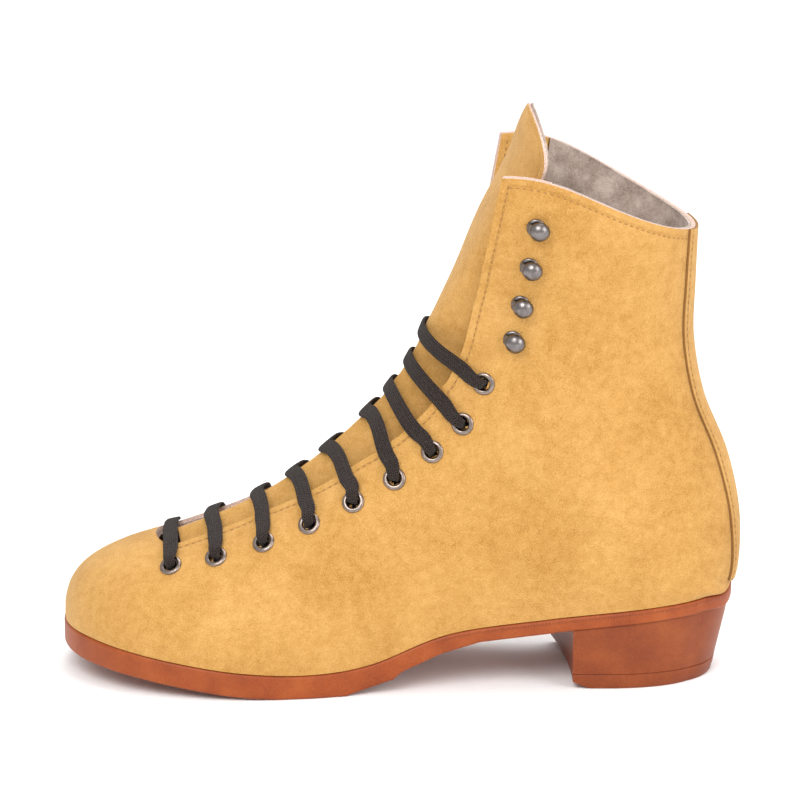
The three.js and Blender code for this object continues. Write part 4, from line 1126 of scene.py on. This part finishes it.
def makeEyelets(name, side):
    ring = bmesh.new()
    spinProfile(ring, eyeletShape["profile"], eyeletShape["segments"])
    bmesh.ops.recalc_face_normals(ring, faces=ring.faces)
    master = bpy.data.meshes.new("eyelet_master")
    ring.to_mesh(master)
    ring.free()
    bm = bmesh.new()
    copiesAt(bm, master, eyelets[side])
    bpy.data.meshes.remove(master)
    piece = newPiece("eyelet_row_" + name, bm, [nickel], smoothAngle=60)
    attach(piece, "root")
    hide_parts(*[f"eyelet_{name}_{k}" for k in range(1, 10)])


# a stamped strip from the base disc, round the throat side and into the dome
def addNeck(bm):
    path = [(2.2, 0.65), (2.9, 0.8), (3.35, 1.4), (3.35, 2.2), (3.0, 3.0), (2.2, 3.6), (1.2, 3.9)]
    half = hookShape["neckWidth"] / 2
    across = np.linspace(-1, 1, 7)
    rows = np.array(path)
    waist = 1 - 0.22 * np.sin(np.linspace(0, math.pi, len(path)))
    points = np.zeros((len(path), len(across), 3))
    points[..., 0] = rows[:, 0][:, None]
    points[..., 1] = half * waist[:, None] * across[None, :]
    points[..., 2] = rows[:, 1][:, None]
    strip = addGrid(bm, points * mm, toMetres=False)
    faces = list({f for v in strip for f in v.link_faces})
    bmesh.ops.solidify(bm, geom=faces, thickness=0.9 * mm)


def makeHooks(name, side):
    body = bmesh.new()
    base = [(0, 0.05), (3.7, 0.05), (3.95, 0.25), (3.9, 0.6), (3.5, 0.95), (2.6, 1.02), (0, 1.05)]
    r = hookShape["dome"]
    dome = [
        (0, 3.3), (r - 1.2, 3.05), (r - 0.35, 2.9), (r, 3.15), (r - 0.05, 3.6), (r - 0.4, 4.4),
        (r - 1.1, 5.2), (r - 2.1, 5.85), (1.0, 6.2), (0, 6.25),
    ]
    spinProfile(body, base, hookShape["segments"], closed=False)
    cap = bmesh.new()
    spinProfile(cap, dome, hookShape["segments"], closed=False,
                matrix=Matrix.Translation((hookShape["set"] * mm, 0, 0)))
    shell = bpy.data.meshes.new("hook_master")
    cap.to_mesh(shell)
    cap.free()
    body.from_mesh(shell)
    weld(body, 1e-6)
    addNeck(body)
    bmesh.ops.recalc_face_normals(body, faces=body.faces)
    body.to_mesh(shell)
    body.free()
    bm = bmesh.new()
    copiesAt(bm, shell, hooks[side])
    bpy.data.meshes.remove(shell)
    piece = newPiece("hook_row_" + name, bm, [gunmetal], smoothAngle=45)
    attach(piece, "root")
    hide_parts(*[f"hook_{name}_{k}" for k in range(1, 5)])


for name, side in (("lateral", lateral), ("medial", medial)):
    makeEyelets(name, side)
    makeHooks(name, side)
print("stage: eyelets and hooks")

# the lace
laceShape = {
    "order": [7, 5, 3, 1, 0, 2, 4, 6, 8], "crests": [3.78, 4.39, 5.03, 5.54, 6.07, 6.8, 8.1, 11.4, 13.8],
    "tails": (15.2, 16.1), "tailInset": 0.066, "step": 5.4,
    "clinch": -4.0, "eyeletRise": 0.95, "thickness": 1.5, "barWidth": 6.5, "holeWidth": 4.0,
    "insideWidth": 4.4,
    "spacing": 0.9, "inner": 0.3, "clear": 0.4, "lift": 0.5, "beside": (2.9, 5.6), "tailWidth": 4.2,
    "archStops": ((0.34, 0.0), (0.55, 0.3), (0.8, 0.65)), "flatness": 0.55, "sides": 18,
    "edgeAt": (0.25, 0.75),
}
runDepth = laceShape["clinch"] - laceShape["inner"] - laceShape["clear"] - laceShape["thickness"] / 2
barRise = laceShape["lift"] + laceShape["thickness"] / 2


def stop(point, face, width):
    return np.concatenate([point, face, [width]])


def offsetFrom(place, height, toThroat=0.0, along=0.0):
    return (place["point"] + place["normal"] * height + place["towardsThroat"] * toThroat
            + place["alongRow"] * along)


def travelAlong(side, start, end):
    row = eyelets[side]
    low = min(start, end, len(row) - 2)
    up = row[low + 1]["point"] - row[low]["point"]
    normal = row[start]["normal"] if start < len(row) else row[low]["normal"]
    travel = up * (1 if start < end else -1)
    return unit(travel - normal * np.dot(travel, normal))


# the tape twists a quarter turn through the eyelet, from lying along the row inside to crossing it outside
def holeStops(place, outward, travel):
    insideFace = travel * (-1 if outward else 1)
    outsideFace = -place["towardsThroat"]
    width = laceShape["holeWidth"]
    rise = laceShape["eyeletRise"]
    stops = [
        stop(offsetFrom(place, laceShape["clinch"] - 1.05), insideFace, width),
        stop(offsetFrom(place, (laceShape["clinch"] + rise) / 2), unit(insideFace + outsideFace), width),
        stop(offsetFrom(place, rise + 0.25), outsideFace, width),
    ]
    return stops if outward else stops[::-1]


# the bars lean towards the toe, because the tape lies square to the slope of the instep
def barStops(k, fromSide):
    start, crestAt = eyeletRow["stations"][k], laceShape["crests"][k]
    halves = []
    for side in (fromSide, -fromSide):
        place = eyelets[side][k]
        rise = laceShape["eyeletRise"] + barRise
        u = start + (crestAt - start) * laceShape["edgeAt"][0]
        edge = float(edgeShare(max(u, last["fullThroat"])))
        t = eyeletRow["shares"][k] + (edge - eyeletRow["shares"][k]) * laceShape["edgeAt"][1]
        stops = [
            stop(offsetFrom(place, rise + 0.45, 1.7), place["normal"], 4.9),
            stop(offsetFrom(place, rise, 5), place["normal"], 5.8),
            stop(layerPoint(u, t, side, barRise), suedeNormal(u, t, side), laceShape["barWidth"]),
        ]
        for share, f in laceShape["archStops"]:
            stops.append(archStop(start + (crestAt - start) * share, f, side))
        halves.append(stops)
    return halves[0] + [archStop(crestAt, 1.0, lateral)] + halves[1][::-1]


def archStop(u, f, side):
    u, f = np.array([u]), np.array([f])
    face = archNormal(u, f, side)[0]
    return stop(archPoint(u, f, side, 0, 0)[0] + face * barRise, face, laceShape["barWidth"])


def besideStops(place, direction):
    stops = []
    for step in laceShape["beside"]:
        point = offsetFrom(place, runDepth) + direction * step
        stops.append(stop(point, place["normal"], laceShape["insideWidth"]))
    return stops


def runStops(side, low, high, sidestep):
    row = eyelets[side]
    middle = []
    if high - low > 1:
        passed = row[low + 1]
        middle = [stop(offsetFrom(passed, runDepth, sidestep), passed["normal"], laceShape["insideWidth"])]
    arriving = besideStops(row[high], travelAlong(side, high, low))[::-1]
    return besideStops(row[low], travelAlong(side, low, high)) + middle + arriving


def tailStops(side, start, until):
    stops = besideStops(eyelets[side][start], travelAlong(side, start, start + 1))
    for share in np.linspace(0.3, 1, 6):
        u = eyeletRow["stations"][start] + (until - eyeletRow["stations"][start]) * share
        place = frameAt(u, float(edgeShare(u)) - laceShape["tailInset"], side)
        stops.append(stop(offsetFrom(place, runDepth), place["normal"], laceShape["tailWidth"]))
    return stops


# straight bars: each end comes out two rows further up, and is tucked behind the facing at the top
def laceRoute():
    order = laceShape["order"]
    stops = tailStops(lateral, order[0], laceShape["tails"][0])[::-1]
    side = lateral
    travel = -travelAlong(side, order[0], order[0] + 1)
    for i, k in enumerate(order):
        stops += holeStops(eyelets[side][k], True, travel)
        stops += barStops(k, side)
        side = -side
        following = order[i + 1] if i + 1 < len(order) else k + 1
        travel = travelAlong(side, k, following)
        stops += holeStops(eyelets[side][k], False, travel)
        if i < len(order) - 1:
            low, high = min(k, following), max(k, following)
            run = runStops(side, low, high, (1 if low % 2 == 0 else -1) * laceShape["step"])
            stops += run if following > k else run[::-1]
    return np.array(stops + tailStops(side, order[-1], laceShape["tails"][1]))


def smoothRoute(stops):
    points = stops[:, :3]
    gaps = np.maximum(np.linalg.norm(np.diff(points, axis=0), axis=1), 1e-6)
    knots = runningLength(gaps)
    slopes = np.zeros_like(stops)
    left, right = (stops[1:-1] - stops[:-2]) / gaps[:-1, None], (stops[2:] - stops[1:-1]) / gaps[1:, None]
    weight = gaps[1:, None] / (gaps[1:] + gaps[:-1])[:, None]
    slopes[1:-1] = left * weight + right * (1 - weight)
    slopes[0], slopes[-1] = (stops[1] - stops[0]) / gaps[0], (stops[-1] - stops[-2]) / gaps[-1]
    lengths = np.linspace(0, knots[-1], int(knots[-1] / laceShape["spacing"]))
    i = np.clip(np.searchsorted(knots, lengths, side="right") - 1, 0, len(gaps) - 1)
    f = ((lengths - knots[i]) / gaps[i])[:, None]
    g = gaps[i][:, None]
    a, b = stops[i], stops[i + 1]
    return (a * (2 * f ** 3 - 3 * f ** 2 + 1) + slopes[i] * g * (f ** 3 - 2 * f ** 2 + f)
            + b * (3 * f ** 2 - 2 * f ** 3) + slopes[i + 1] * g * (f ** 3 - f ** 2)), lengths


def makeLace():
    samples, lengths = smoothRoute(laceRoute())
    points, faces, widths = samples[:, :3], samples[:, 3:6], samples[:, 6]
    tangents = unit(np.gradient(points, axis=0))
    across = unit(np.cross(tangents, faces))
    up = np.cross(across, tangents)
    angles = np.linspace(0, 2 * math.pi, laceShape["sides"] + 1)
    # a flat tape with rounded selvedges
    flatAcross = np.sign(np.cos(angles)) * np.abs(np.cos(angles)) ** laceShape["flatness"]
    flatUp = np.sign(np.sin(angles)) * np.abs(np.sin(angles)) ** 0.8
    selvedge = 1 + 0.16 * np.abs(flatAcross) ** 6
    height = laceShape["thickness"] / 2 * 0.92
    spread = across[:, None, :] * (widths[:, None, None] / 2) * flatAcross[None, :, None]
    lift = up[:, None, :] * height * (flatUp * selvedge)[None, :, None]
    rings = points[:, None, :] + spread + lift
    bm = bmesh.new()
    tape = bm.loops.layers.uv.new("tape")
    marks = {
        "along": np.broadcast_to(lengths[:, None], rings.shape[:2]),
        "across": widths[:, None] / 2 * flatAcross[None, :] + np.where(flatUp < 0, 40.0, 0.0)[None, :],
    }
    addGrid(bm, rings, marks=marks)
    along, sideways = bm.verts.layers.float["along"], bm.verts.layers.float["across"]
    for face in bm.faces:
        for loop in face.loops:
            loop[tape].uv = (loop.vert[along], loop.vert[sideways])
    weld(bm, 1e-6)
    closeEnds(bm)
    piece = newPiece("woven_lace", bm, [laceYarn], smoothAngle=70)
    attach(piece, "root")
    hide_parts("lace")
    print("stage: lace,", round(float(lengths[-1])), "mm long")


makeLace()

# what the boot holds inside keeps its CAD shape
board = innerMaterial("insole_board", (0.26, 0.155, 0.085), (0.40, 0.26, 0.15), 500, 0.85, 0.3)
stiffener = innerMaterial("stiffener", (0.50, 0.46, 0.36), (0.68, 0.64, 0.54), 900, 0.92, 0.4)
cork = innerMaterial("cork", (0.13, 0.06, 0.025), (0.42, 0.24, 0.12), 420, 0.9, 0.6)
plastic = innerMaterial("aglet_plastic", (0.010, 0.007, 0.006), (0.022, 0.016, 0.014), 700, 0.35, 0.05)
steel = metalMaterial("steel", (0.46, 0.47, 0.49), 0.35, 0.7)
carried = {
    "insole_board": board, "shank": steel, "forefoot_filler": cork, "toe_puff": stiffener,
    "heel_counter": stiffener, "interlining_lateral": stiffener, "interlining_medial": stiffener,
    "aglet_1": plastic, "aglet_2": plastic,
}
carried.update({f"heel_nail_{k}": steel for k in range(1, 6)})
for name, material in carried.items():
    node = frame["nodes"][name]
    node.data.materials.clear()
    node.data.materials.append(material)
print("stage: inner pieces")
